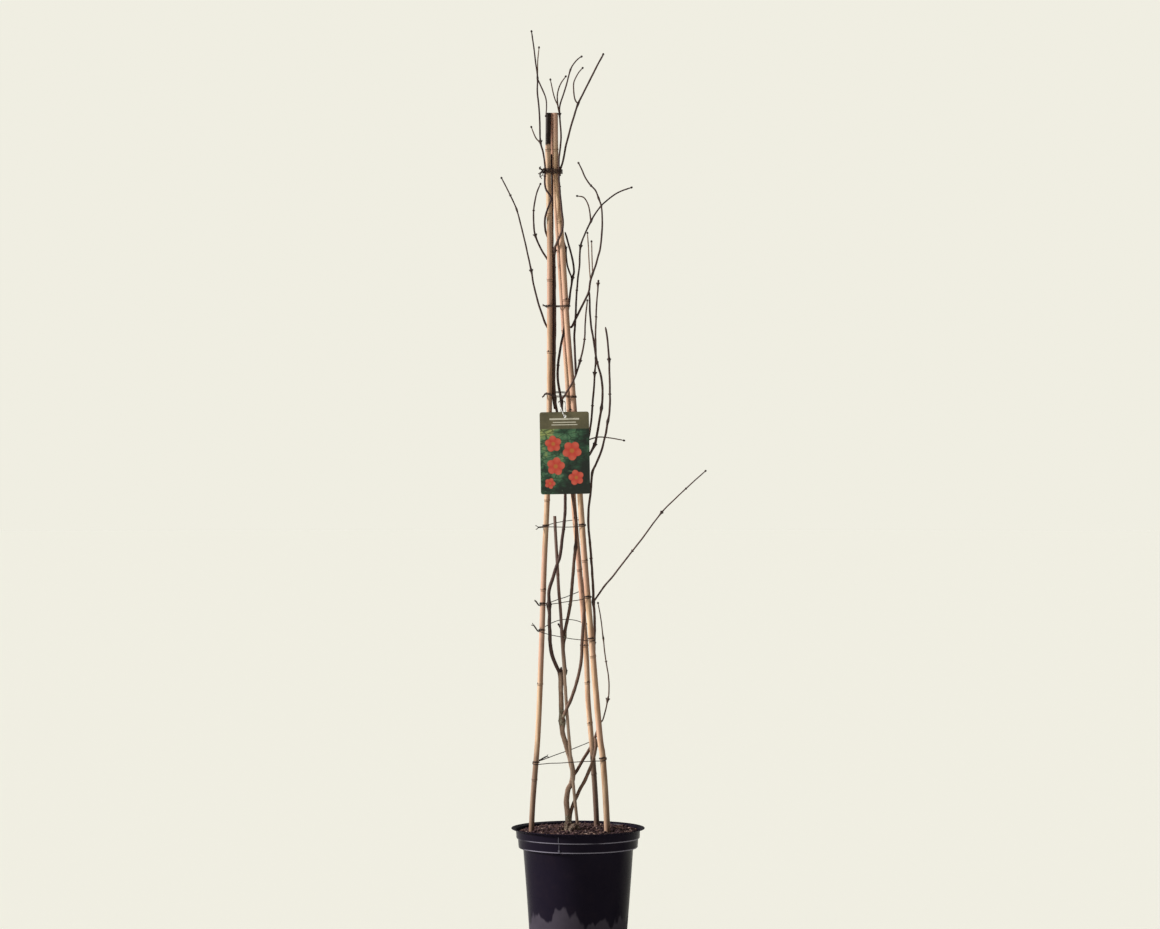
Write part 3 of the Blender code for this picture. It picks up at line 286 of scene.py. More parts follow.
# Wire ties: row at the left cane, at the right cane and behind the back cane, what the wire
# also goes round (column, depth, mm), and where the twisted ends point: to the left from the
# left cane's front, or to the right from behind it
TIES = [
    (171.0, 171.5, 170.0, ((545.0, -14, 1.9), (560.5, -14.5, 2.5)), (-3.4, -3.0)),
    (306.5, 306.5, 305.5, ((568.6, -4, 2.0),), (-3.6, -1.5)),
    (394.0, 396.8, 393.0, ((565.2, -28, 1.9),), (-3.0, 4.5)),
    (526.5, 525.5, 520.5, (), (-6.0, 0.5)),
    (604.0, 597.0, 592.0, ((549.0, -28, 4.6),), (-5.0, -7.0)),
    (630.5, 638.5, 624.5, (), (-7.0, -10.0)),
    (762.0, 757.0, 743.5, (), (13.0, -7.5)),
]

# Label: middle of its card and lean; strap round the left leader
LABEL_MIDDLE = (564.9, 453.0, -40)
LABEL_LEAN = math.radians(-1.0)
STRAP_LOOP = [
    (564.5, 416.6, -42.2), (562.8, 412.8, -42.5), (561, 408.5, -39), (559.2, 405, -28),
    (558.5, 403, -19), (559.1, 401.6, -11.5), (561.8, 401, -8.3), (564.4, 401.6, -11.5),
    (565.1, 403, -19), (565.2, 408, -29), (565.1, 413, -36), (564.8, 416.2, -37.8)]

# Turns of wire in each tie, how far its front and back strands hang in mm, and how far the
# two ends spread past their twist
WINDINGS = [(5, 0.0, 0.0, 3.5), (2, 0.5, 0.0, 2.5), (2, 2.6, -1.5, 4.5), (1, 0.5, -2.5, 7.0),
            (1, 1.5, 1.5, 4.0), (1, 3.0, -12.0, 6.0), (1, -0.5, 1.0, 6.5)]
# Cut ends in a clump on the first tie: how far left of its twist and above it, in mm
CLUMP = [(-3.0, 7.0), (-5.5, -12.0), (-8.0, -6.0), (-1.5, -15.0), (-6.5, 3.0), (-3.5, -9.0)]

# Where lichen sits: column, row, depth, and how far it spreads in mm
LICHEN = [
    (565.5, 646, -14, 10), (565.8, 636, -15, 7), (561, 714, -18, 13), (565.7, 674.6, -13, 9),
    (561.5, 722, -18, 8), (568, 822, -22, 14)]
# Above this height the painted shade on the canes' right side is lighter
SIDE_SHADE_FADE_Z = 1.30
# Below this row the canes' feet are mixed toward a darker colour
FOOT_TONE_ROW = 742
# Where the left cane's dark top begins
DARK_TOP_Z = seen(VIEW_COLUMN, 146, -4).z
# Skin of the canes and the stake: pale, deep and blush
HONEY = ((0.680, 0.490, 0.320), (0.450, 0.260, 0.145), (0.560, 0.325, 0.240))
TAWNY = ((0.640, 0.455, 0.300), (0.420, 0.245, 0.140), (0.520, 0.305, 0.225))
SHADED = ((0.700, 0.490, 0.330), (0.460, 0.265, 0.160), (0.580, 0.325, 0.240))
GREYED = ((0.170, 0.108, 0.088), (0.110, 0.066, 0.054), (0.180, 0.105, 0.092))


# Shader maths
class Signal:
    """A value in a finish. Arithmetic on it adds the Math nodes."""

    def __init__(self, finish, socket):
        self.finish = finish
        self.socket = socket

    def __add__(self, other):
        return self.finish.maths("ADD", self, other)

    def __radd__(self, other):
        return self.finish.maths("ADD", other, self)

    def __sub__(self, other):
        return self.finish.maths("SUBTRACT", self, other)

    def __rsub__(self, other):
        return self.finish.maths("SUBTRACT", other, self)

    def __mul__(self, other):
        return self.finish.maths("MULTIPLY", self, other)

    def __truediv__(self, other):
        return self.finish.maths("DIVIDE", self, other)


class Finish:
    """A material built from nodes, with one Principled shader."""

    def __init__(self, name, roughness=0.5, metallic=0.0, specular=0.5, coat=0.0, ior=1.5):
        self.material = bpy.data.materials.new(name)
        self.material.use_nodes = True
        self.tree = self.material.node_tree
        self.shader = self.tree.nodes["Principled BSDF"]
        self.shader.inputs["Roughness"].default_value = roughness
        self.shader.inputs["Metallic"].default_value = metallic
        self.shader.inputs["Specular IOR Level"].default_value = specular
        self.shader.inputs["IOR"].default_value = ior
        self.shader.inputs["Coat Weight"].default_value = coat
        self.shader.inputs["Coat Roughness"].default_value = 0.12

    def node(self, kind, settings=None, inputs=None, output=0):
        made = self.tree.nodes.new(kind)
        for name, value in (settings or {}).items():
            if name == "stops":
                self.set_stops(made.color_ramp, value)
            else:
                setattr(made, name, value)
        for name, value in (inputs or {}).items():
            self.feed(made.inputs[name], value)
        return Signal(self, made.outputs[output])

    def maths(self, operation, *values):
        return self.node("ShaderNodeMath", {"operation": operation}, dict(enumerate(values)))

    def feed(self, socket, value):
        if isinstance(value, Signal):
            self.tree.links.new(value.socket, socket)
        elif isinstance(value, tuple) and len(value) == 3 and socket.type == "RGBA":
            socket.default_value = (*value, 1.0)
        else:
            socket.default_value = value

    @staticmethod
    def set_stops(ramp, stops):
        while len(ramp.elements) < len(stops):
            ramp.elements.new(1.0)
        for element, (place, colour) in zip(ramp.elements, stops):
            element.position = place
            element.color = (*colour, 1.0)

    def places(self, stretch=(1.0, 1.0, 1.0), move=(0.0, 0.0, 0.0), turn=(0.0, 0.0, 0.0)):
        """Object coordinates, moved, turned and stretched."""
        here = self.node("ShaderNodeTexCoord", output="Object")
        return self.node("ShaderNodeMapping", {}, {"Vector": here, "Location": move,
                                                   "Rotation": turn, "Scale": stretch})

    def noise(self, where, scale, detail=3.0, roughness=0.5):
        return self.node("ShaderNodeTexNoise", {},
                         {"Vector": where, "Scale": scale, "Detail": detail,
                          "Roughness": roughness})

    def attribute(self, name):
        """A value that the piece's own points carry."""
        return self.node("ShaderNodeAttribute", {"attribute_name": name}, output="Fac")

    def ramp(self, value, stops):
        return self.node("ShaderNodeValToRGB", {"stops": stops}, {"Fac": value})

    def mix(self, share, first, second):
        return self.node("ShaderNodeMix", {"data_type": "RGBA"},
                         {0: share, 6: first, 7: second}, output=2)

    def coats(self, base, *coats):
        """A base colour with coats of (share, colour) laid over it in turn."""
        for share, colour in coats:
            base = self.mix(share, base, colour)
        return base

    def band(self, value, low, high):
        """0 below low, 1 above high, smooth between."""
        return self.node("ShaderNodeMapRange", {"interpolation_type": "SMOOTHSTEP"},
                         {"Value": value, "From Min": low, "From Max": high})

    def peak(self, value, middle, reach):
        """1 at the middle, fading to 0 a reach away on either side."""
        away = self.maths("ABSOLUTE", value - middle)
        return 1.0 - self.band(away, reach * 0.35, reach)

    def axes(self, where):
        split = self.tree.nodes.new("ShaderNodeSeparateXYZ")
        self.tree.links.new(where.socket, split.inputs[0])
        return [Signal(self, socket) for socket in split.outputs]

    def made(self, colour, rough=None, relief=None, distance=0.0, strength=1.0):
        """The material, once its colour, roughness and relief are joined to the shader."""
        self.feed(self.shader.inputs["Base Color"], colour)
        if rough:
            self.feed(self.shader.inputs["Roughness"], rough)
        if relief:
            bent = self.node("ShaderNodeBump", {}, {"Height": relief, "Distance": distance,
                                                    "Strength": strength})
            self.feed(self.shader.inputs["Normal"], bent)
        return self.material


def bark_finish():
    """Ridged bark: dark young wood, grey-tan old wood, pale lenticels, lichen and painted shade on the
    right.
    """
    finish = Finish("vine_bark", 0.72, specular=0.30)
    fibre = finish.noise(finish.places((1.0, 1.0, 0.10)), 900.0, 3.0, 0.6)
    patch = finish.noise(finish.places(), 60.0, 4.0, 0.6)
    tint = finish.attribute("tint") + (patch - 0.5) * 0.42 + (fibre - 0.5) * 0.50
    bark = finish.ramp(tint, [(0.0, (0.020, 0.009, 0.009)), (0.25, (0.058, 0.029, 0.026)),
                              (0.5, (0.125, 0.070, 0.050)), (0.75, (0.270, 0.165, 0.115)),
                              (1.0, (0.480, 0.330, 0.240))])
    # Painted shade: the bark's side facing the plant's right, away from the key light, is darkened
    side = finish.band(finish.attribute("side") + (patch - 0.5) * 0.3, 0.50, 0.92)
    dots = finish.node("ShaderNodeTexVoronoi", {},
                       {"Vector": finish.places((1.0, 1.0, 0.45)), "Scale": 520.0})
    lenticel = (1.0 - finish.band(dots, 0.10, 0.24)) * 0.35
    moss = finish.attribute("moss")
    spread = finish.noise(finish.places(), 170.0, 5.0, 0.65)
    lichen = finish.band(spread + moss * 0.22, 0.56, 0.68) * finish.band(moss, 0.15, 0.6)
    growth = finish.ramp(finish.noise(finish.places(), 420.0, 2.0),
                         [(0.3, (0.080, 0.062, 0.034)), (0.5, (0.210, 0.180, 0.120)),
                          (0.72, (0.480, 0.450, 0.360))])
    bark = finish.coats(
        bark,
        # painted shade on the right side
        (side * 0.5, (0.030, 0.017, 0.014)),
        (finish.attribute("knot") * 0.65, (0.026, 0.015, 0.013)),
        (lenticel, (0.33, 0.25, 0.18)),
        (lichen * 0.85, growth))
    return finish.made(bark, 0.62 + patch * 0.22 + lichen * 0.12,
                       fibre * 0.7 + patch * 0.5 + lichen * 0.8 - lenticel * 0.3, 0.0006, 0.8)


def bamboo_finish(name, pale, deep, blush, dark_end_z=None, weathered=0.0, foot_tone=0.35,
                  foot_colour=(0.060, 0.033, 0.027), foot_row=FOOT_TONE_ROW):
    """Dried cane: long fine fibres, blush and grey stains, brown node rings, a foot of another colour and
    painted shade on the right side.
    """
    finish = Finish(name, 0.45, specular=0.30)
    fibre = finish.noise(finish.places((1.0, 1.0, 0.035)), 1500.0, 3.0, 0.65)
    streak = finish.noise(finish.places((1.0, 1.0, 0.06)), 260.0, 3.0, 0.55)
    cloud = finish.noise(finish.places((1.0, 1.0, 0.35)), 14.0, 3.0, 0.55)
    grey = finish.noise(finish.places((1.0, 1.0, 0.25)), 45.0, 5.0, 0.7)
    height = finish.axes(finish.places())[2]
    # Painted shade: the cane's right side, away from the key light, is darkened, more so lower down
    side = finish.band(finish.attribute("side") + (streak - 0.5) * 0.2, 0.48, 0.86)
    low = 1.0 - finish.band(height, SIDE_SHADE_FADE_Z - 0.25, SIDE_SHADE_FADE_Z)
    ring = finish.attribute("knot") + (cloud - 0.5) * 0.25
    foot_tone_z = row_z(foot_row)
    # Below foot_row the foot is mixed toward foot_colour
    foot = 1.0 - finish.band(height + (grey - 0.5) * 0.12, foot_tone_z - 0.05, foot_tone_z + 0.02)
    skin = finish.coats(
        pale,
        (finish.band(streak, 0.32, 0.66), deep),
        (finish.band(cloud, 0.42, 0.62) * 0.8, blush),
        (finish.band(fibre, 0.50, 0.75) * 0.40, (0.145, 0.075, 0.040)),
        # painted shade on the right side
        (side * (0.20 + low * 0.35), (0.150, 0.068, 0.042)),
        (finish.band(grey, 0.54, 0.72) * (0.32 + weathered), (0.165, 0.115, 0.090)),
        (finish.band(ring, 0.30, 0.95) * 0.8, (0.105, 0.052, 0.028)),
        (finish.band(finish.attribute("scar"), 0.4, 0.8), (0.045, 0.023, 0.014)),
        (finish.attribute("cut"), (0.24, 0.155, 0.09)),
        (foot * foot_tone, foot_colour))
    if dark_end_z:
        # The top is darker from dark_end_z up
        dark_top_share = finish.band(height + (streak - 0.5) * 0.006, dark_end_z, dark_end_z + 0.004)
        skin = finish.mix(dark_top_share, skin, (0.014, 0.006, 0.003))
    return finish.made(skin, 0.40 + streak * 0.20 + finish.band(grey, 0.5, 0.75) * 0.18,
                       fibre * 0.5 + streak * 0.4, 0.00035, 0.6)


def pot_finish():
    """Thin black moulded plastic, with painted highlights along its steps' edges and a paler jagged band
    at its foot.
    """
    finish = Finish("black_pot_plastic", 0.26, specular=0.5, ior=1.08)
    wave = finish.noise(finish.places((1.0, 1.0, 0.5)), 16.0, 2.0)
    scuff = finish.noise(finish.places((1.0, 1.0, 0.22)), 190.0, 5.0, 0.7)
    dust = finish.noise(finish.places(), 42.0, 5.0, 0.65)
    lobes = finish.noise(finish.places((1.0, 1.0, 0.3)), 22.0, 3.0, 0.6)
    height = finish.axes(finish.places())[2]
    # Paler towards the foot, below a jagged edge
    pale_foot = 1.0 - finish.band(height + (lobes - 0.5) * 0.14, 0.068, 0.076)
    # Painted highlights: pale lines along the collar step and the body's ledge, broken up by noise
    highlight_breaks = finish.band(finish.noise(finish.places(), 11.0, 2.0), 0.36, 0.54) * 0.9
    step_highlight = finish.peak(height, COLLAR_STEP_Z + 0.0006, 0.0011)
    ledge_highlight = finish.peak(height, BODY_TOP_Z + 0.0030, 0.0012)
    plastic = finish.coats(
        (0.0092, 0.0070, 0.0140),
        (finish.band(dust, 0.45, 0.80) * 0.6, (0.0140, 0.0098, 0.0160)),
        # the paler jagged band at the foot
        (pale_foot * (0.45 + dust * 0.45), (0.062, 0.053, 0.070)),
        (finish.band(scuff, 0.66, 0.80) * 0.14, (0.070, 0.064, 0.080)),
        # the painted highlight along the step edges
        ((step_highlight + ledge_highlight) * highlight_breaks, (0.230, 0.215, 0.270)),
        (finish.attribute("worn") * 0.7, (0.105, 0.100, 0.125)))
    rough = 0.22 + dust * 0.12 + finish.band(scuff, 0.6, 0.8) * 0.14 + pale_foot * 0.25
    return finish.made(plastic, rough, wave + scuff * 0.02, 0.0022, 0.35)


def peat_finish():
    """Moist dark peat: purple-brown crumbs with paler dry tips."""
    finish = Finish("peat_soil", 0.93, specular=0.2)
    grain = finish.noise(finish.places(), 900.0, 4.0, 0.7)
    clod = finish.noise(finish.places(), 130.0, 4.0, 0.6)
    soil = finish.ramp(grain * 0.6 + clod * 0.5,
                       [(0.30, (0.007, 0.004, 0.005)), (0.50, (0.028, 0.014, 0.018)),
                        (0.66, (0.084, 0.044, 0.050)), (0.85, (0.210, 0.125, 0.128))])
    soil = finish.mix(finish.attribute("tint") * 0.6, soil, (0.150, 0.084, 0.076))
    return finish.made(soil, None, grain + clod * 0.6, 0.0012, 0.9)


def fibre_finish():
    """Root and moss fibres in the peat, rust-brown to pale pinkish straw."""
    finish = Finish("peat_fibres", 0.85, specular=0.25)
    grain = finish.noise(finish.places(), 700.0, 3.0, 0.6)
    tint = finish.attribute("tint") + (grain - 0.5) * 0.3
    return finish.made(finish.ramp(
        tint, [(0.0, (0.060, 0.028, 0.020)), (0.4, (0.170, 0.090, 0.062)),
               (0.7, (0.340, 0.220, 0.175)), (1.0, (0.560, 0.430, 0.370))]))


def wire_finish():
    """Dull dark coated wire, rusty in places."""
    finish = Finish("tie_wire", 0.48, metallic=0.55, specular=0.4)
    rust = finish.noise(finish.places(), 320.0, 4.0, 0.65)
    coat = finish.mix(finish.band(rust, 0.45, 0.70), (0.030, 0.021, 0.019), (0.105, 0.050, 0.030))
    return finish.made(coat, 0.40 + rust * 0.30, rust, 0.0002, 0.5)


def strap_finish():
    finish = Finish("white_strap", 0.42, specular=0.45)
    cloud = finish.noise(finish.places(), 260.0, 3.0)
    white = finish.mix(finish.band(cloud, 0.4, 0.7), (0.68, 0.68, 0.67), (0.56, 0.55, 0.54))
    return finish.made(white, 0.36 + cloud * 0.2)


# The label's own print: a plain header with rules, leaves below it, and coral trumpet flowers.
# Places on the card are in mm from its middle. A flower is (across, up, reach, turn), and a rule
# is (up, half its width, half its height).
CARD_FLOWERS = [(-21.0, 17.0, 15.5, 0.2), (13.0, 4.0, 18.0, 0.9), (-17.0, -24.0, 17.0, 0.5),
                (20.0, -45.0, 14.5, 0.1), (-28.0, -55.0, 10.0, 0.7)]
CARD_RULES = [(62.0, 27.0, 1.5), (56.0, 21.0, 0.8), (51.5, 23.5, 0.8)]
HEADER_FOOT = 44.0


def petals(finish, across, up, flower):
    """Where a five-lobed flower is, where its throat is, and how strong its veins are."""
    x, y, reach, turn = flower
    away_x = (across - x) / reach
    away_y = (up - y) / reach
    radius = finish.maths("SQRT", away_x * away_x + away_y * away_y)
    angle = finish.maths("ARCTAN2", away_y, away_x) + turn
    lobe = finish.maths("ABSOLUTE", finish.maths("SINE", angle * 2.5))
    edge = 0.74 + lobe * 0.26
    inside = 1.0 - finish.band(radius / edge, 0.94, 1.02)
    throat = 1.0 - finish.band(radius, 0.10, 0.34)
    vein = lobe * finish.band(radius, 0.15, 0.75)
    return inside, throat, vein


def label_finish(middle, lean):
    """A glossy printed card, white on its back and edges."""
    finish = Finish("printed_label", 0.30, specular=0.5, coat=0.25)
    turned = Matrix.Rotation(-lean, 4, "Y") @ Matrix.Translation(-middle)
    move = turned.to_translation() / MM
    card = finish.places((1 / MM, 1 / MM, 1 / MM), tuple(move), (0.0, -lean, 0.0))
    across, depth, up = finish.axes(card)
    leafy = finish.noise(card, 0.035, 3.0, 0.6)
    slanted = finish.node("ShaderNodeMapping", {}, {"Vector": card, "Rotation": (0.0, 0.7, 0.0),
                                                    "Scale": (0.055, 0.055, 0.13)})
    blades = finish.node("ShaderNodeTexVoronoi", {"feature": "DISTANCE_TO_EDGE"},
                         {"Vector": slanted, "Scale": 1.0}, output="Distance")
    green = finish.ramp(leafy + across * -0.0035 + up * 0.0022,
                        [(0.32, (0.006, 0.014, 0.008)), (0.48, (0.018, 0.066, 0.032)),
                         (0.62, (0.090, 0.220, 0.105)), (0.80, (0.420, 0.460, 0.140))])
    dark = finish.mix(0.65, green, (0.004, 0.012, 0.004))
    green = finish.mix(finish.band(blades, 0.02, 0.10), dark, green)
    picture = finish.mix(finish.band(blades, 0.30, 0.42) * 0.35, green, (0.20, 0.36, 0.20))
    for flower in CARD_FLOWERS:
        inside, throat, vein = petals(finish, across, up, flower)
        shade = finish.coats((0.620, 0.050, 0.032), (vein * 0.7, (0.740, 0.150, 0.085)),
                             (throat, (0.560, 0.180, 0.035)))
        picture = finish.mix(inside, picture, shade)
    header = finish.mix(finish.band(leafy, 0.35, 0.65), (0.105, 0.094, 0.048), (0.155, 0.136, 0.070))
    for height, half_width, half_height in CARD_RULES:
        level = finish.maths("ABSOLUTE", up - height)
        side = finish.maths("ABSOLUTE", across)
        rule = 1.0 - finish.band(level, half_height - 0.1, half_height + 0.1)
        rule = rule * (1.0 - finish.band(side, half_width - 0.2, half_width + 0.2))
        header = finish.mix(rule * 0.85, header, (0.78, 0.74, 0.62))
    picture = finish.mix(finish.band(up, HEADER_FOOT - 0.3, HEADER_FOOT + 0.3), picture, header)
    front = 1.0 - finish.band(depth, -0.32, -0.28)
    return finish.made(finish.mix(front, (0.56, 0.55, 0.51), picture), 0.26 + leafy * 0.10)


# Shapes
def smooth_route(points, spacing):
    """A smooth curve through the points, in even short steps: (place, share of the run)."""
    places = []
    run = []
    done = 0.0
    padded = [points[0] * 2 - points[1], *points, points[-1] * 2 - points[-2]]
    for index in range(1, len(padded) - 2):
        before, here, there, after = padded[index - 1:index + 3]
        steps = max(2, round((there - here).length / spacing))
        for step in range(steps):
            share = step / steps
            place = 0.5 * (2 * here + (there - before) * share
                           + (2 * before - 5 * here + 4 * there - after) * share ** 2
                           + (3 * here - before - 3 * there + after) * share ** 3)
            if places:
                done += (place - places[-1]).length
            places.append(place)
            run.append(done)
    run.append(done + (points[-1] - places[-1]).length)
    places.append(points[-1].copy())
    return places, run


def stations(places, radii, closed=False):
    """A placing matrix for the ring at each place, turning as little as it can."""
    last = len(places) - 1
    made = []
    side = None
    for index, place in enumerate(places):
        if closed:
            ahead = places[(index + 1) % len(places)] - places[index - 1]
        else:
            ahead = places[min(index + 1, last)] - places[max(index - 1, 0)]
        ahead.normalize()
        if side is None:
            side = ahead.orthogonal().normalized()
        side = (side - ahead * side.dot(ahead)).normalized()
        up = ahead.cross(side)
        turn = Matrix((side, up, ahead)).transposed().to_4x4()
        made.append(Matrix.Translation(place) @ turn @ Matrix.Scale(radii[index], 4))
    return made


def swept(places, radii, sides, values=None, closed=False):
    """A rod drawn ring by ring along the places; values hold a number per ring and name."""
    shape = bmesh.new()
    layers = {name: shape.verts.layers.float.new(name) for name in values or {}}
    frames = stations(places, radii, closed)
    bmesh.ops.create_circle(shape, segments=sides, radius=1.0, matrix=frames[0])
    rims = [list(shape.edges)]
    rings = [list(shape.verts)]
    for here, there in zip(frames, frames[1:]):
        grown = bmesh.ops.extrude_edge_only(shape, edges=rims[-1])["geom"]
        ring = [part for part in grown if isinstance(part, bmesh.types.BMVert)]
        fresh = set(ring)
        rims.append([part for part in grown if isinstance(part, bmesh.types.BMEdge)
                     and part.verts[0] in fresh and part.verts[1] in fresh])
        rings.append(ring)
        bmesh.ops.transform(shape, matrix=there @ here.inverted(), verts=ring)
    for index, ring in enumerate(rings):
        for name, layer in layers.items():
            for vert in ring:
                vert[layer] = values[name][index]
    if closed:
        bmesh.ops.bridge_loops(shape, edges=rims[0] + rims[-1])
    else:
        bmesh.ops.edgeloop_fill(shape, edges=rims[0])
        bmesh.ops.edgeloop_fill(shape, edges=rims[-1])
    bmesh.ops.recalc_face_normals(shape, faces=shape.faces)
    return shape


def mesh_of(name, shape):
    mesh = bpy.data.meshes.new(name)
    shape.to_mesh(mesh)
    shape.free()
    return mesh


def add_object(name, data):
    item = bpy.data.objects.new(name, data)
    bpy.context.scene.collection.objects.link(item)
    return item


def turned(profile, steps):
    """A surface turned round the pot's axis from points of radius and height."""
    shape = bmesh.new()
    verts = [shape.verts.new((radius, 0.0, z)) for radius, z in profile]
    edges = [shape.edges.new(pair) for pair in zip(verts, verts[1:])]
    bmesh.ops.spin(shape, geom=verts + edges, cent=(0, 0, 0), axis=(0, 0, 1), angle=math.tau,
                   steps=steps, use_merge=True)
    bmesh.ops.remove_doubles(shape, verts=shape.verts, dist=0.00002)
    bmesh.ops.recalc_face_normals(shape, faces=shape.faces)
    return shape


def egg(place, aim, sizes, around, rows, values):
    """An ellipsoid, its last size along the aim, with one value for each name."""
    shape = bmesh.new()
    bmesh.ops.create_uvsphere(shape, u_segments=around, v_segments=rows, radius=1.0)
    turn = aim.to_track_quat("Z", "Y").to_matrix().to_4x4()
    shaping = Matrix.Translation(place) @ turn @ Matrix.Diagonal((*sizes, 1.0))
    bmesh.ops.transform(shape, matrix=shaping, verts=shape.verts)
    give(shape, values)
    return shape


def give(shape, values):
    """Sets one value for each name on every point."""
    for name, value in values.items():
        layer = shape.verts.layers.float.get(name) or shape.verts.layers.float.new(name)
        for vert in shape.verts:
            vert[layer] = value


def mark_shade_side(shape):
    """How far each point faces the plant's right, the side the finishes paint in shade: 0 to 1."""
    side = shape.verts.layers.float.new("side")
    shape.normal_update()
    for vert in shape.verts:
        vert[side] = 0.5 + 0.5 * vert.normal.x


def pour(target, shape):
    """Adds a finished shape to a larger one, with its vertex values."""
    mesh = mesh_of("pour", shape)
    target.from_mesh(mesh)
    bpy.data.meshes.remove(mesh)


def gather(names):
    """An empty shape whose points can carry the named values."""
    shape = bmesh.new()
    for name in names:
        shape.verts.layers.float.new(name)
    return shape


def stand_in(name, shape, finish, nodes=(), sharp=40.0):
    """Makes a finished piece that rides on the frame and stands for its CAD nodes."""
    mesh = mesh_of(name, shape)
    mesh.materials.append(finish)
    mesh.shade_smooth()
    mesh.set_sharp_from_angle(angle=math.radians(sharp))
    piece = add_object(name, mesh)
    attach(piece, "root")
    if nodes:
        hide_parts(*nodes)
    return piece


def bell(away, reach):
    """1 at no distance, falling to 0 past the reach."""
    return math.exp(-(away / reach) ** 2)


# Vine
def shoot(target, number, chance):
    """One shoot with its node swellings, opposite buds and leaf scars."""
    route, root_mm, tip_mm, tint = SHOOTS[number]
    points = placed(route)
    knots = [(point, entry[3]) for point, entry in zip(points, route) if len(entry) > 3]
    places, run = smooth_route(points, 0.0030 if root_mm > 2.0 else 0.0036)
    radii = []
    closeness = []
    for place, along in zip(places, run):
        radius = MM * (root_mm + (tip_mm - root_mm) * along / run[-1]) + SHOOT_EXTRA_R
        uneven = 1.05 + 0.10 * noise.noise(place * 120.0) + 0.05 * noise.noise(place * 420.0)
        swelling = 1.0
        near_knot = 0.0
        for spot, factor in knots:
            close = bell((place - spot).length, 1.5 * radius + 0.0016)
            swelling += (factor - 1.0) * close
            near_knot = max(near_knot, close)
        radii.append(radius * uneven * swelling)
        closeness.append(near_knot)
    for step, place in enumerate(places[1:-1], start=1):
        places[step] = place + noise.noise_vector(place * 55.0) * radii[step] * 0.22
    if number:
        radii[-1] *= 0.5
        radii[-2] *= 0.9
    spots = [(seen(*spot), reach * MM) for *spot, reach in LICHEN]
    moss = [max(bell((place - spot).length, reach) for spot, reach in spots) for place in places]
    darker_tip = 0.55 if root_mm > STEM_MM and tip_mm < 2.0 else 0.0
    tints = [tint * (1.0 - darker_tip * along / run[-1]) for along in run]
    values = {"tint": tints, "knot": closeness, "moss": moss}
    pour(target, swept(places, radii, 14 if root_mm > STEM_MM else 10, values))
    for order, (spot, factor) in enumerate(knots):
        if factor < 1.4:
            continue
        at = min(range(len(places)), key=lambda step: (places[step] - spot).length)
        ahead = (places[min(at + 2, len(places) - 1)] - places[max(at - 2, 0)]).normalized()
        bud_pair(target, places[at], ahead, radii[at], order, tint, chance)
    if tip_mm < 1.5:
        ahead = (places[-1] - places[-3]).normalized()
        bud(target, places[-1], ahead, 0.0024, 0.0016 + tip_mm * 0.0004, tint * 0.3)
    spread_buds(target, places, run, radii, knots, tint, chance)


def bud(target, place, aim, long, wide, tint):
    """A pointed bud, its middle at the place."""
    pour(target, egg(place, aim, (wide, wide, long), 8, 6, {"tint": tint, "knot": 0.4, "moss": 0.0}))


def bud_pair(target, place, ahead, radius, order, tint, chance, size=1.0):
    """Opposite buds above their leaf scars, each pair turned a quarter from the last."""
    outward = ahead.cross(Vector((0.0, 1.0, 0.0))).normalized()
    turn = math.radians(90.0 * (order % 2) + chance.uniform(-25, 25))
    outward = Matrix.Rotation(turn, 3, ahead) @ outward
    for side in (-1.0, 1.0):
        out = outward * side
        aim = (out * 0.55 + ahead).normalized()
        long = (0.0019 + chance.uniform(0.0, 0.0008)) * size
        wide = (0.0010 + chance.uniform(0.0, 0.0003)) * size
        root = place + out * radius * 0.75
        bud(target, root + aim * long * 0.6, aim, long, wide, tint * 0.4)
        bud(target, root - ahead * long * 0.7, out, wide * 0.4, wide * 0.95, min(1.0, tint + 0.25))


def spread_buds(target, places, run, radii, knots, tint, chance):
    """Small buds at the nodes between the large ones, every 60 to 95 mm."""
    along = chance.uniform(0.03, 0.06)
    order = 1
    for step, done in enumerate(run):
        if done < along or step < 3 or step > len(places) - 4:
            continue
        if all(bell((places[step] - spot).length, 0.016) < 0.3 for spot, _ in knots):
            ahead = (places[step + 2] - places[step - 2]).normalized()
            bud_pair(target, places[step], ahead, radii[step], order, tint, chance, 0.72)
        along = done + chance.uniform(0.060, 0.095)
        order += 1


def crown(target):
    """Knobbly old wood at the soil, with moss."""
    for index, (column, row, depth, radius) in enumerate(CROWN_LUMPS):
        lump = bmesh.new()
        bmesh.ops.create_icosphere(lump, subdivisions=4, radius=radius * MM)
        centre = seen(column, row, depth)
        for vert in lump.verts:
            out = vert.co.normalized()
            rise = 0.20 * noise.noise(out * 2.2 + Vector((index, 0, 0)))
            rise += 0.16 * noise.noise(out * 5.5 + Vector((0, index, 0)))
            rise += 0.07 * noise.noise(out * 13.0)
            vert.co = centre + vert.co * (0.97 + rise)
        give(lump, {"tint": 0.42, "knot": 0.0, "moss": 0.45})
        pour(target, lump)
    stub, run = smooth_route(placed(ROOT_STUB), 0.004)
    radii = [0.0070 - 0.0042 * along / run[-1] for along in run]
    root = swept(stub, radii, 12)
    give(root, {"tint": 0.4, "knot": 0.0, "moss": 0.0})
    pour(target, root)


def make_vine(finish):
    chance = random.Random(VINE_SEED)
    noise.seed_set(VINE_SEED)
    target = gather(("tint", "knot", "moss"))
    for index in range(len(SHOOTS)):
        shoot(target, index, chance)
    crown(target)
    mark_shade_side(target)
    stand_in("vine_stems", target, finish, ("vine",), sharp=55.0)


# Canes and stake
def along_z(points, z):
    """The point of a rising route at a height."""
    for low, high in zip(points, points[1:]):
        if low.z <= z <= high.z:
            return low.lerp(high, (z - low.z) / (high.z - low.z))
    return points[-1] if z > points[-1].z else points[0]


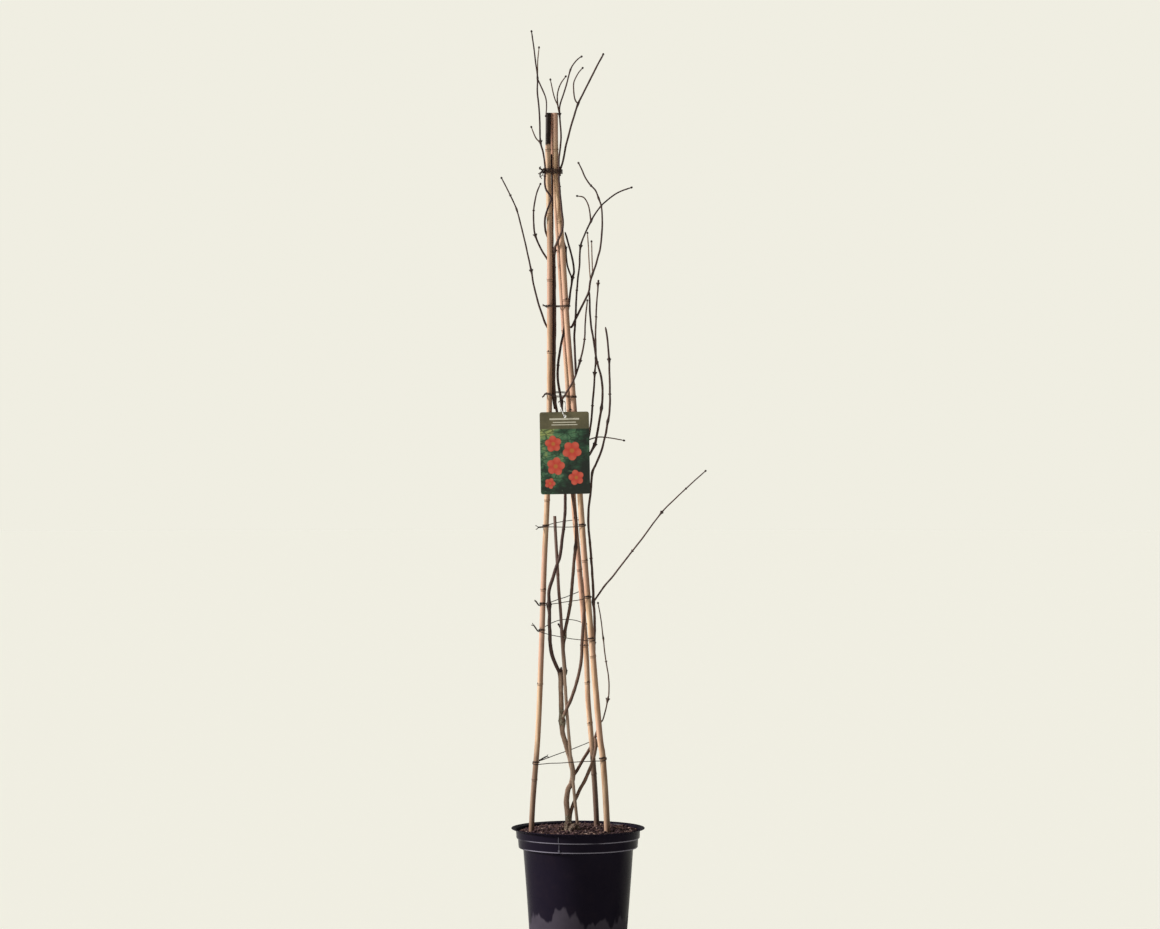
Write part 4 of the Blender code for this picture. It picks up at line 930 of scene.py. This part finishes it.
class Cane:
    """A cane of the tripod, from its foot in the soil to its top."""

    def __init__(self, key):
        points = placed(CANE_ROUTES[key])
        self.points = [Vector((*CANE_FEET[key], points[-1].z - CANE_LENGTH))] + points
        self.thick, self.thin = CANE_RADII[key]

    def radius(self, z):
        share = (z - self.points[0].z) / CANE_LENGTH
        return self.thick + (self.thin - self.thick) * share


CANES = {key: Cane(key) for key in CANE_ROUTES}


def bamboo_rod(places, radii, sides, knots):
    """A rod with what the bamboo finish reads: its nodes, and no scar or cut yet."""
    none = [0.0] * len(places)
    return swept(places, radii, sides, {"knot": knots, "scar": none, "cut": none})


def make_cane(key, finish):
    """A cane with ridged nodes, a trimmed twig's scar at some of them and a hollow top."""
    cane = CANES[key]
    node_z = [row_z(row) for row in CANE_NODES[key]]
    places, _ = smooth_route(cane.points, 0.0060)
    rings = [along_z(places, z + offset * MM) for z in node_z for offset in NODE_OFFSETS_MM]
    keep = [place for place in places if min(abs(place.z - z) for z in node_z) > 0.008]
    places = sorted(keep + rings, key=lambda place: place.z)
    radii = []
    knots = []
    for place in places:
        ridge = max(bell(place.z - z, 0.0016) for z in node_z)
        groove = max(bell(place.z - z + 0.0030, 0.0010) for z in node_z)
        swell = max(bell(place.z - z, 0.0060) for z in node_z)
        uneven = 0.015 * noise.noise(place * 25.0)
        radii.append(cane.radius(place.z) * (1.0 + 0.07 * ridge + 0.05 * swell - 0.05 * groove + uneven))
        knots.append(max(ridge * 0.8, groove))
    shape = bamboo_rod(places, radii, 24, knots)
    hollow_top(shape, places[-1], (places[-1] - places[-2]).normalized(), radii[-1])
    target = gather(("knot", "scar", "cut"))
    pour(target, shape)
    for row, bearing in CANE_SCARS[key]:
        z = row_z(row)
        turn = math.radians(bearing)
        out = Vector((math.sin(turn), -math.cos(turn), 0.25))
        place = along_z(places, z) + out * cane.radius(z) * 0.92
        pour(target, egg(place, out, (0.0019, 0.0024, 0.0012), 12, 8,
                         {"knot": 0.7, "scar": 0.9, "cut": 0.0}))
    mark_shade_side(target)
    stand_in("bamboo_" + key, target, finish, ("cane_" + key,), sharp=50.0)


def hollow_top(shape, top, lean, radius):
    """Cuts the cane's open end into its highest face."""
    lid = max(shape.faces, key=lambda face: (face.calc_center_median() - top).dot(lean)
              if len(face.verts) > 4 else -1.0)
    cut = shape.verts.layers.float["cut"]
    bmesh.ops.inset_region(shape, faces=[lid], thickness=radius * 0.42)
    for edge in lid.edges:
        for vert in edge.verts:
            vert[cut] = 1.0
    sunk = bmesh.ops.extrude_discrete_faces(shape, faces=[lid])["faces"]
    verts = {vert for face in sunk for vert in face.verts}
    bmesh.ops.translate(shape, verts=list(verts), vec=-lean * HOLLOW_DEPTH)


def make_stake(finish):
    places, run = smooth_route([Vector(STAKE_FOOT)] + placed(STAKE), 0.0040)
    radii = []
    knots = []
    for place, along in zip(places, run):
        ring = max(bell(along - run[-1] * share, 0.0035) for share in STAKE_RINGS)
        radii.append(STAKE_R * (1.0 + 0.10 * ring + 0.05 * noise.noise(place * 70.0)))
        knots.append(ring * 0.8)
    shape = bamboo_rod(places, radii, 16, knots)
    mark_shade_side(shape)
    stand_in("young_stake", shape, finish, ("stake",), sharp=50.0)


# Pot and soil
def body_radius(z):
    return POT_BASE_R + (BODY_TOP_R - POT_BASE_R) * z / BODY_TOP_Z


def pot_profile():
    """Half the wall's outline, from the underside's middle round the lip to the floor."""
    low = BODY_TOP_Z
    step = COLLAR_STEP_Z
    high = POT_HEIGHT
    outer = [
        (0.0, 0.0), (0.055, 0.0), (0.0725, 0.0), (0.0735, 0.0006), (0.0790, 0.0006), (0.0800, 0.0),
        (POT_BASE_R - 0.0022, 0.0), (POT_BASE_R - 0.0008, 0.0006), (POT_BASE_R, 0.0022),
        (body_radius(0.05), 0.05), (body_radius(0.10), 0.10), (body_radius(0.15), 0.15),
        (BODY_TOP_R - 0.0001, low - 0.0016), (BODY_TOP_R + 0.0006, low - 0.0006),
        (LOWER_COLLAR_R - 0.0030, low + 0.0014), (LOWER_COLLAR_R - 0.0016, low + 0.0022),
        (LOWER_COLLAR_R - 0.0011, low + 0.0036), (LOWER_COLLAR_R - 0.0001, step - 0.0024),
        (LOWER_COLLAR_R + 0.0006, step - 0.0012), (UPPER_COLLAR_R - 0.0008, step - 0.0002),
        (UPPER_COLLAR_R - 0.0003, step + 0.0008), (UPPER_COLLAR_R + 0.0003, high - 0.0064),
        (UPPER_COLLAR_R + 0.0008, high - 0.0046), (UPPER_COLLAR_R + 0.0024, high - 0.0033),
        (LIP_R - 0.0016, high - 0.0021), (LIP_R - 0.0003, high - 0.0014), (LIP_R, high - 0.0008),
        (LIP_R - 0.0004, high - 0.0002), (LIP_R - 0.0012, high),
    ]
    inner = [
        (UPPER_COLLAR_R + 0.0026, high - 0.0014), (UPPER_COLLAR_R + 0.0004, high - 0.0028),
        (UPPER_COLLAR_R - 0.0006, high - 0.0052), (UPPER_COLLAR_R - 0.0004 - WALL, step + 0.0014),
        (LOWER_COLLAR_R - WALL, step - 0.0007), (LOWER_COLLAR_R - 0.0010 - WALL, low + 0.0048),
        (LOWER_COLLAR_R - 0.0024 - WALL, low + 0.0032), (BODY_TOP_R - WALL, low + 0.0004),
        (body_radius(0.10) - WALL, 0.10), (POT_BASE_R - WALL, FLOOR + 0.0015),
        (POT_BASE_R - WALL - 0.0015, FLOOR), (0.045, FLOOR), (0.0, FLOOR),
    ]
    return outer + inner


def make_pot(finish):
    """The moulded wall, a little out of round, with its drain holes."""
    shape = turned(pot_profile(), POT_STEPS)
    for vert in shape.verts:
        if vert.co.z > 0.01:
            angle = math.atan2(vert.co.y, vert.co.x)
            bow = 0.0007 * math.sin(3 * angle + 0.6) + 0.0004 * math.sin(7 * angle + 2.0)
            bow *= math.sin(math.pi * min(1.0, vert.co.z / POT_HEIGHT))
            vert.co += Vector((vert.co.x, vert.co.y, 0.0)).normalized() * bow
    pot = stand_in("nursery_pot", shape, finish, ("pot",), sharp=32.0)
    cutters = []
    for index in range(DRAIN_HOLES):
        angle = math.tau * (index + 0.5) / DRAIN_HOLES
        hole = bmesh.new()
        bmesh.ops.create_cone(hole, cap_ends=True, segments=24, radius1=DRAIN_R, radius2=DRAIN_R,
                              depth=DRAIN_CUT)
        bmesh.ops.translate(hole, verts=hole.verts, vec=(DRAIN_CIRCLE_R * math.cos(angle),
                                                         DRAIN_CIRCLE_R * math.sin(angle), 0.0))
        cutters.append(add_object("drain_hole", mesh_of("drain_hole", hole)))
        pot.modifiers.new("Drain hole", "BOOLEAN").object = cutters[-1]
    bpy.context.view_layer.update()
    cut = pot.evaluated_get(bpy.context.evaluated_depsgraph_get())
    cut_mesh = bpy.data.meshes.new_from_object(cut)
    pot.modifiers.clear()
    pot.data = cut_mesh
    for cutter in cutters:
        bpy.data.objects.remove(cutter)


def make_seams(finish):
    """The mould's two seams: a fine rib down each side of the collars, with a small tab."""
    target = gather(("worn",))
    for angle in map(math.radians, SEAM_BEARINGS):
        out = Vector((math.cos(angle), math.sin(angle), 0.0))
        for radius, low, high, wide, proud in (
                (UPPER_COLLAR_R, COLLAR_STEP_Z + 0.002, POT_HEIGHT - 0.006, 0.0014, 0.0009),
                (LOWER_COLLAR_R - 0.0004, BODY_TOP_Z + 0.004, COLLAR_STEP_Z - 0.002, 0.0014, 0.0009),
                (LOWER_COLLAR_R - 0.0004, BODY_TOP_Z + 0.003, BODY_TOP_Z + 0.008, 0.0040, 0.0013)):
            rib = bmesh.new()
            bmesh.ops.create_cube(rib, size=1.0)
            bmesh.ops.transform(rib, verts=rib.verts, matrix=(
                Matrix.Translation(out * radius + Vector((0, 0, (low + high) / 2)))
                @ Matrix.Rotation(angle, 4, "Z")
                @ Matrix.Diagonal((proud * 2, wide, high - low, 1.0))))
            bmesh.ops.bevel(rib, geom=rib.edges[:], offset=0.0003, segments=2, profile=0.5,
                            affect="EDGES", material=-1)
            give(rib, {"worn": 1.0})
            pour(target, rib)
    stand_in("mould_seams", target, finish)


def soil_height(x, y):
    reach = math.hypot(x, y) / UPPER_COLLAR_R
    crumbs = math.sin(x * 410) * math.sin(y * 370 + 1.3) + 0.6 * math.sin(x * 730 + y * 560)
    low_left = 0.0022 * max(0.0, -x / UPPER_COLLAR_R)
    return SOIL_TOP_Z - SOIL_EDGE_DROP * reach ** 2 - low_left + 0.0007 * crumbs


def crust_height(x, y):
    """The soil's own height with clods and grains on it."""
    place = Vector((x, y, 0.0))
    clods = noise.noise(place * 55.0) * 0.0022 + noise.noise(place * 130.0) * 0.0014
    grains = noise.noise(place * 420.0) * 0.0007
    return soil_height(x, y) + 0.0012 + clods + grains


def make_crust(finish):
    """The soil's rough top: one turned sheet raised by noise, and loose crumbs on it."""
    radii = [CRUST_R * ring / CRUST_RINGS for ring in range(CRUST_RINGS + 1)]
    shape = turned([(radius, 0.0) for radius in radii], CRUST_STEPS)
    if shape.faces[0].normal.z < 0:
        bmesh.ops.reverse_faces(shape, faces=shape.faces)
    tint = shape.verts.layers.float.new("tint")
    for vert in shape.verts:
        reach = math.hypot(vert.co.x, vert.co.y) / CRUST_R
        vert.co.z = crust_height(vert.co.x, vert.co.y)
        if reach > 0.985:
            vert.co.z = soil_height(vert.co.x, vert.co.y) - 0.0050
        vert[tint] = 0.5 * max(0.0, noise.noise(vert.co * 90.0))
    chance = random.Random(CRUMB_SEED)
    for index in range(CRUMBS):
        reach = CRUST_R * 0.965 * math.sqrt(chance.random())
        turn = chance.uniform(0.0, math.tau)
        x, y = reach * math.cos(turn), reach * math.sin(turn)
        size = 0.0009 + 0.0021 * chance.random() ** 2
        crumb = bmesh.new()
        bmesh.ops.create_icosphere(crumb, subdivisions=2 if size > 0.0018 else 1, radius=size)
        for vert in crumb.verts:
            vert.co *= 1.0 + 0.45 * noise.noise(vert.co * 700.0 + Vector((index, 0, 0)))
        spin = Matrix.Rotation(chance.uniform(0, math.tau), 4, "Z")
        flat = Matrix.Diagonal((chance.uniform(0.8, 1.5), 1.0, chance.uniform(0.5, 0.9), 1.0))
        lift = Vector((x, y, crust_height(x, y) + size * 0.25))
        bmesh.ops.transform(crumb, matrix=Matrix.Translation(lift) @ spin @ flat,
                            verts=crumb.verts)
        give(crumb, {"tint": chance.random() ** 2.5})
        pour(shape, crumb)
    stand_in("peat_crust", shape, finish, sharp=70.0)


def make_fibres(finish):
    """Short root and moss fibres lying on the soil, bowed and half buried."""
    chance = random.Random(FIBRE_SEED)
    target = gather(("tint",))
    for index in range(FIBRES):
        reach = FIBRE_R * math.sqrt(chance.random())
        turn = chance.uniform(0.0, math.tau)
        centre = Vector((reach * math.cos(turn), reach * math.sin(turn), 0.0))
        aim = Vector((math.cos(turn * 3.1 + index), math.sin(turn * 3.1 + index), 0.0))
        across = Vector((-aim.y, aim.x, 0.0))
        long = chance.uniform(0.004, 0.013)
        bow = chance.uniform(-0.35, 0.35) * long
        points = []
        for share in (-0.5, -0.2, 0.1, 0.35, 0.5):
            flat = centre + aim * long * share + across * bow * (0.25 - share * share) * 3
            if flat.length > FIBRE_R:
                flat *= FIBRE_R / flat.length
            lift = 0.0006 + 0.0034 * (0.25 - share * share) * chance.random()
            points.append(Vector((flat.x, flat.y, crust_height(flat.x, flat.y) + lift)))
        radius = chance.uniform(0.00022, 0.00055)
        radii = [radius * 0.5, radius, radius, radius * 0.9, radius * 0.4]
        tint = chance.random() ** 1.4
        pour(target, swept(points, radii, 5, {"tint": [tint] * 5}))
    stand_in("peat_fibres", target, finish, sharp=80.0)


# Ties and strap
def tie_path(left_row, right_row, back_row, extra):
    """A taut loop round the three canes, and round any stem held outside them."""
    posts = []
    for key, row in (("left", left_row), ("right", right_row), ("back", back_row)):
        z = row_z(row)
        posts.append((along_z(CANES[key].points, z), CANES[key].radius(z)))
    left, right, back = (post[0] for post in posts)
    normal = (right - left).cross(back - left)
    for column, depth, radius in extra:
        posts.append((seen(column, left_row, depth), radius * MM))
    ring = []
    turns = 36
    for centre, radius in posts:
        reach = radius * 1.06 + WIRE_R
        for index in range(turns):
            angle = math.tau * index / turns
            ring.append(Vector((centre.x + reach * math.cos(angle),
                                centre.y + reach * math.sin(angle))))
    path = []
    for flat in (ring[index] for index in convex_hull_2d(ring)):
        drop = normal.x * (flat.x - left.x) + normal.y * (flat.y - left.y)
        path.append(Vector((flat.x, flat.y, left.z - drop / normal.z)))
    start = min(range(len(path)), key=lambda index: path[index].x + 0.4 * path[index].y)
    return path[start:] + path[:start]


def slack(path, front, back):
    """The loop with its long strands divided; the first hangs by front, the last by back."""
    spans = [(there - here).length for here, there in zip(path, path[1:])]
    long = [index for index, span in enumerate(spans) if span > 0.012]
    hangs = {long[0]: front, long[-1]: back} if long else {}
    made = []
    for index, (here, there) in enumerate(zip(path, path[1:])):
        steps = max(1, round(spans[index] / 0.006))
        hang = hangs.get(index, 0.0) * MM
        for step in range(steps):
            share = step / steps
            place = here.lerp(there, share)
            kink = noise.noise(place * 40.0) * 0.0010 * min(1.0, steps / 4)
            made.append(place + Vector((0, 0, kink - hang * 4 * share * (1 - share))))
    return made + [path[-1]]


def outward(axis, angle):
    """The way out from an axis, at an angle round it."""
    side = axis.orthogonal().normalized()
    return side * math.cos(angle) + axis.cross(side) * math.sin(angle)


def coil(centre, lean, radius, turns, rise):
    """Wire wound round a cane."""
    steps = round(turns * 22)
    points = []
    for step in range(steps + 1):
        out = outward(lean, math.tau * turns * step / steps)
        points.append(centre + out * radius + lean * rise * (step / steps - 0.5))
    return points


def knot_behind(path, left):
    """The loop begun and ended where the wire comes back to the left cane from behind."""
    behind = [index for index, place in enumerate(path) if place.y > left.y + 0.0015
              and abs(place.x - left.x) < 0.010]
    start = max(behind, key=lambda index: path[index].x)
    return path[start:] + path[:start + 1]


def twist(root, aim, long, spread, strand):
    """One of the two ends: it winds round the other, then bends away."""
    sign = -1.0 if strand else 1.0
    points = []
    turns = 3.0
    steps = 30
    for step in range(steps + 1):
        share = step / steps
        out = outward(aim, math.tau * turns * share + (0.0 if strand else math.pi))
        points.append(root + aim * long * share + out * WIRE_R)
    bend = (aim * 0.8 + Vector((0.0, -0.25, 0.85 * sign))).normalized()
    for share in (0.35, 0.7, 1.0):
        curl = Vector((0.0, 0.0, -0.3 * sign * share * share))
        points.append(points[steps] + (bend + curl) * spread * share)
    return points


def wire(points, radius=DRAWN_WIRE_R):
    return swept(points, [radius] * len(points), WIRE_SIDES)


def curled_end(root, across, up):
    """A short cut end of wire, curled away from the twist."""
    tip = root + Vector((across, -0.004, up))
    side = Vector((0.004 if across < -0.004 else -0.004, -0.002, 0.0))
    points = [root, root.lerp(tip, 0.35) + side * 0.6, root.lerp(tip, 0.7) + side, tip]
    return wire(smooth_route(points, 0.0012)[0], WIRE_R)


def make_tie(number, finish):
    """A wire wound round the canes, its two ends twisted together and bent away."""
    left_row, right_row, back_row, extra, ends = TIES[number]
    turns, front, back, spread = WINDINGS[number]
    path = tie_path(left_row, right_row, back_row, extra)
    aim = Vector((ends[0] * VIEW_STEP, -0.0035, -ends[1] * VIEW_STEP))
    if ends[0] > 0:
        path = knot_behind(path, along_z(CANES["left"].points, row_z(left_row)))
        stand_off = Vector((0.0045, 0.0010, 0.0012))
    else:
        path = path + path[:1]
        stand_off = Vector((-0.0016, -0.0012, 0.0))
    wound = slack(path, front, back)[:-1] * turns
    rise = WIRE_R * (0.6 + 1.45 * turns)
    wound = [place + Vector((0, 0, rise * (0.5 - step / (len(wound) - 1)) * 1.4))
             for step, place in enumerate(wound)]
    root = (wound[0] + wound[-1]) / 2 + stand_off
    long = aim.length * 0.62
    aim.normalize()
    first = twist(root, aim, long, spread * MM, 0)
    last = twist(root, aim, long, spread * MM, 1)
    target = bmesh.new()
    pour(target, wire(list(reversed(first)) + wound + last))
    if number == 0:
        for across, up in CLUMP:
            pour(target, curled_end(root, across * MM, up * MM))
    if turns == 1:
        for key, row in (("left", left_row), ("right", right_row)):
            cane = CANES[key]
            z = row_z(row) + rise * 0.5 + WIRE_R * 1.6
            centre = along_z(cane.points, z)
            lean = (along_z(cane.points, z + 0.01) - centre).normalized()
            pour(target, wire(coil(centre, lean, cane.radius(z) * 1.02 + WIRE_R, 1.7, WIRE_R * 2.6)))
    name = f"{number + 1}"
    stand_in("wire_tie_" + name, target, finish, ("tie_" + name,), sharp=75.0)


def make_strap(finish):
    points = placed(STRAP_LOOP)
    places, _ = smooth_route(points[-2:] + points + points[:2], 0.0014)
    half = len(places) // 2
    first = min(range(half), key=lambda step: (places[step] - points[0]).length)
    last = min(range(half, len(places)), key=lambda step: (places[step] - points[0]).length)
    loop = places[first:last]
    shape = swept(loop, [STRAP_R * 1.15] * len(loop), 10, closed=True)
    stand_in("hanging_strap", shape, finish, ("label_strap",), sharp=75.0)


# Studio
def make_floor(finish):
    """A wide flat pale floor."""
    shape = bmesh.new()
    bmesh.ops.create_circle(shape, cap_ends=True, segments=96, radius=FLOOR_R)
    bmesh.ops.translate(shape, verts=shape.verts, vec=(0.0, 0.0, FLOOR_Z))
    floor = add_object("studio_floor", mesh_of("studio_floor", shape))
    floor.data.materials.append(finish)


def add_light(name, toward, power, spread, colour):
    """A broad far light."""
    lamp = bpy.data.lights.new(name, "SUN")
    lamp.energy = power
    lamp.angle = math.radians(spread)
    lamp.color = colour
    item = add_object(name, lamp)
    item.location = Vector(toward) * 5.0
    item.rotation_euler = Vector(toward).to_track_quat("Z", "Y").to_euler()


def make_room():
    """Dim light from all round; seen directly, the room is the plain backdrop."""
    world = bpy.data.worlds.new("pale_studio")
    world.use_nodes = True
    tree = world.node_tree
    glow = tree.nodes["Background"]
    glow.inputs["Color"].default_value = (*ROOM_TINT, 1.0)
    glow.inputs["Strength"].default_value = ROOM_GLOW
    backdrop = tree.nodes.new("ShaderNodeBackground")
    backdrop.inputs["Color"].default_value = (*BACKDROP, 1.0)
    rays = tree.nodes.new("ShaderNodeLightPath")
    blend = tree.nodes.new("ShaderNodeMixShader")
    tree.links.new(rays.outputs["Is Camera Ray"], blend.inputs[0])
    tree.links.new(glow.outputs[0], blend.inputs[1])
    tree.links.new(backdrop.outputs[0], blend.inputs[2])
    tree.links.new(blend.outputs[0], tree.nodes["World Output"].inputs["Surface"])
    bpy.context.scene.world = world


def make_studio():
    scene = bpy.context.scene
    scene.view_settings.view_transform = "Standard"
    make_room()
    make_floor(Finish("pale_studio_floor", 1.0, specular=0.0).made(FLOOR_PAINT))
    for name, light in LIGHTS.items():
        add_light(name, *light)
    camera = bpy.data.cameras.new("camera")
    camera.sensor_width = SENSOR_WIDTH
    camera.lens = camera.sensor_width * (VIEW_DISTANCE / VIEW_STEP) / IMAGE_WIDTH
    camera.clip_end = 100.0
    view = add_object("camera", camera)
    view.location = (VIEW_X, -VIEW_DISTANCE, VIEW_Z)
    view.rotation_euler = (math.radians(90.0), 0.0, 0.0)
    scene.camera = view


def dress(node, finish):
    """A frame node whose shape is right keeps it and gets a better finish."""
    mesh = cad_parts[node].data
    mesh.materials.clear()
    mesh.materials.append(finish)


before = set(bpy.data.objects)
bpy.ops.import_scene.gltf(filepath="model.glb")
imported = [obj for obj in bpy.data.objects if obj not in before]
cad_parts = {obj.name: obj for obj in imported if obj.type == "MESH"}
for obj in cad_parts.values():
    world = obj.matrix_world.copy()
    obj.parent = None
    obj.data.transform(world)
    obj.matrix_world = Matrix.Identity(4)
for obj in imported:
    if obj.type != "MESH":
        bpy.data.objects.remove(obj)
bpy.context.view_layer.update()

pot_plastic = pot_finish()
peat = peat_finish()
honey_bamboo = bamboo_finish("bamboo_honey", *HONEY)
tawny_bamboo = bamboo_finish("bamboo_tawny", *TAWNY, dark_end_z=DARK_TOP_Z, foot_tone=0.6)
shade_bamboo = bamboo_finish("bamboo_shade", *SHADED, weathered=0.15, foot_tone=0.85)
stake_bark = bamboo_finish("stake_grey", *GREYED, weathered=0.3, foot_tone=0.8,
                           foot_colour=(0.380, 0.270, 0.195), foot_row=645)

make_pot(pot_plastic)
make_seams(pot_plastic)
dress("soil", peat)
make_crust(peat)
make_fibres(fibre_finish())
make_cane("left", tawny_bamboo)
make_cane("right", honey_bamboo)
make_cane("back", shade_bamboo)
make_stake(stake_bark)
make_vine(bark_finish())
dark_wire = wire_finish()
for number in range(len(TIES)):
    make_tie(number, dark_wire)
dress("label", label_finish(seen(*LABEL_MIDDLE), LABEL_LEAN))
make_strap(strap_finish())
make_studio()
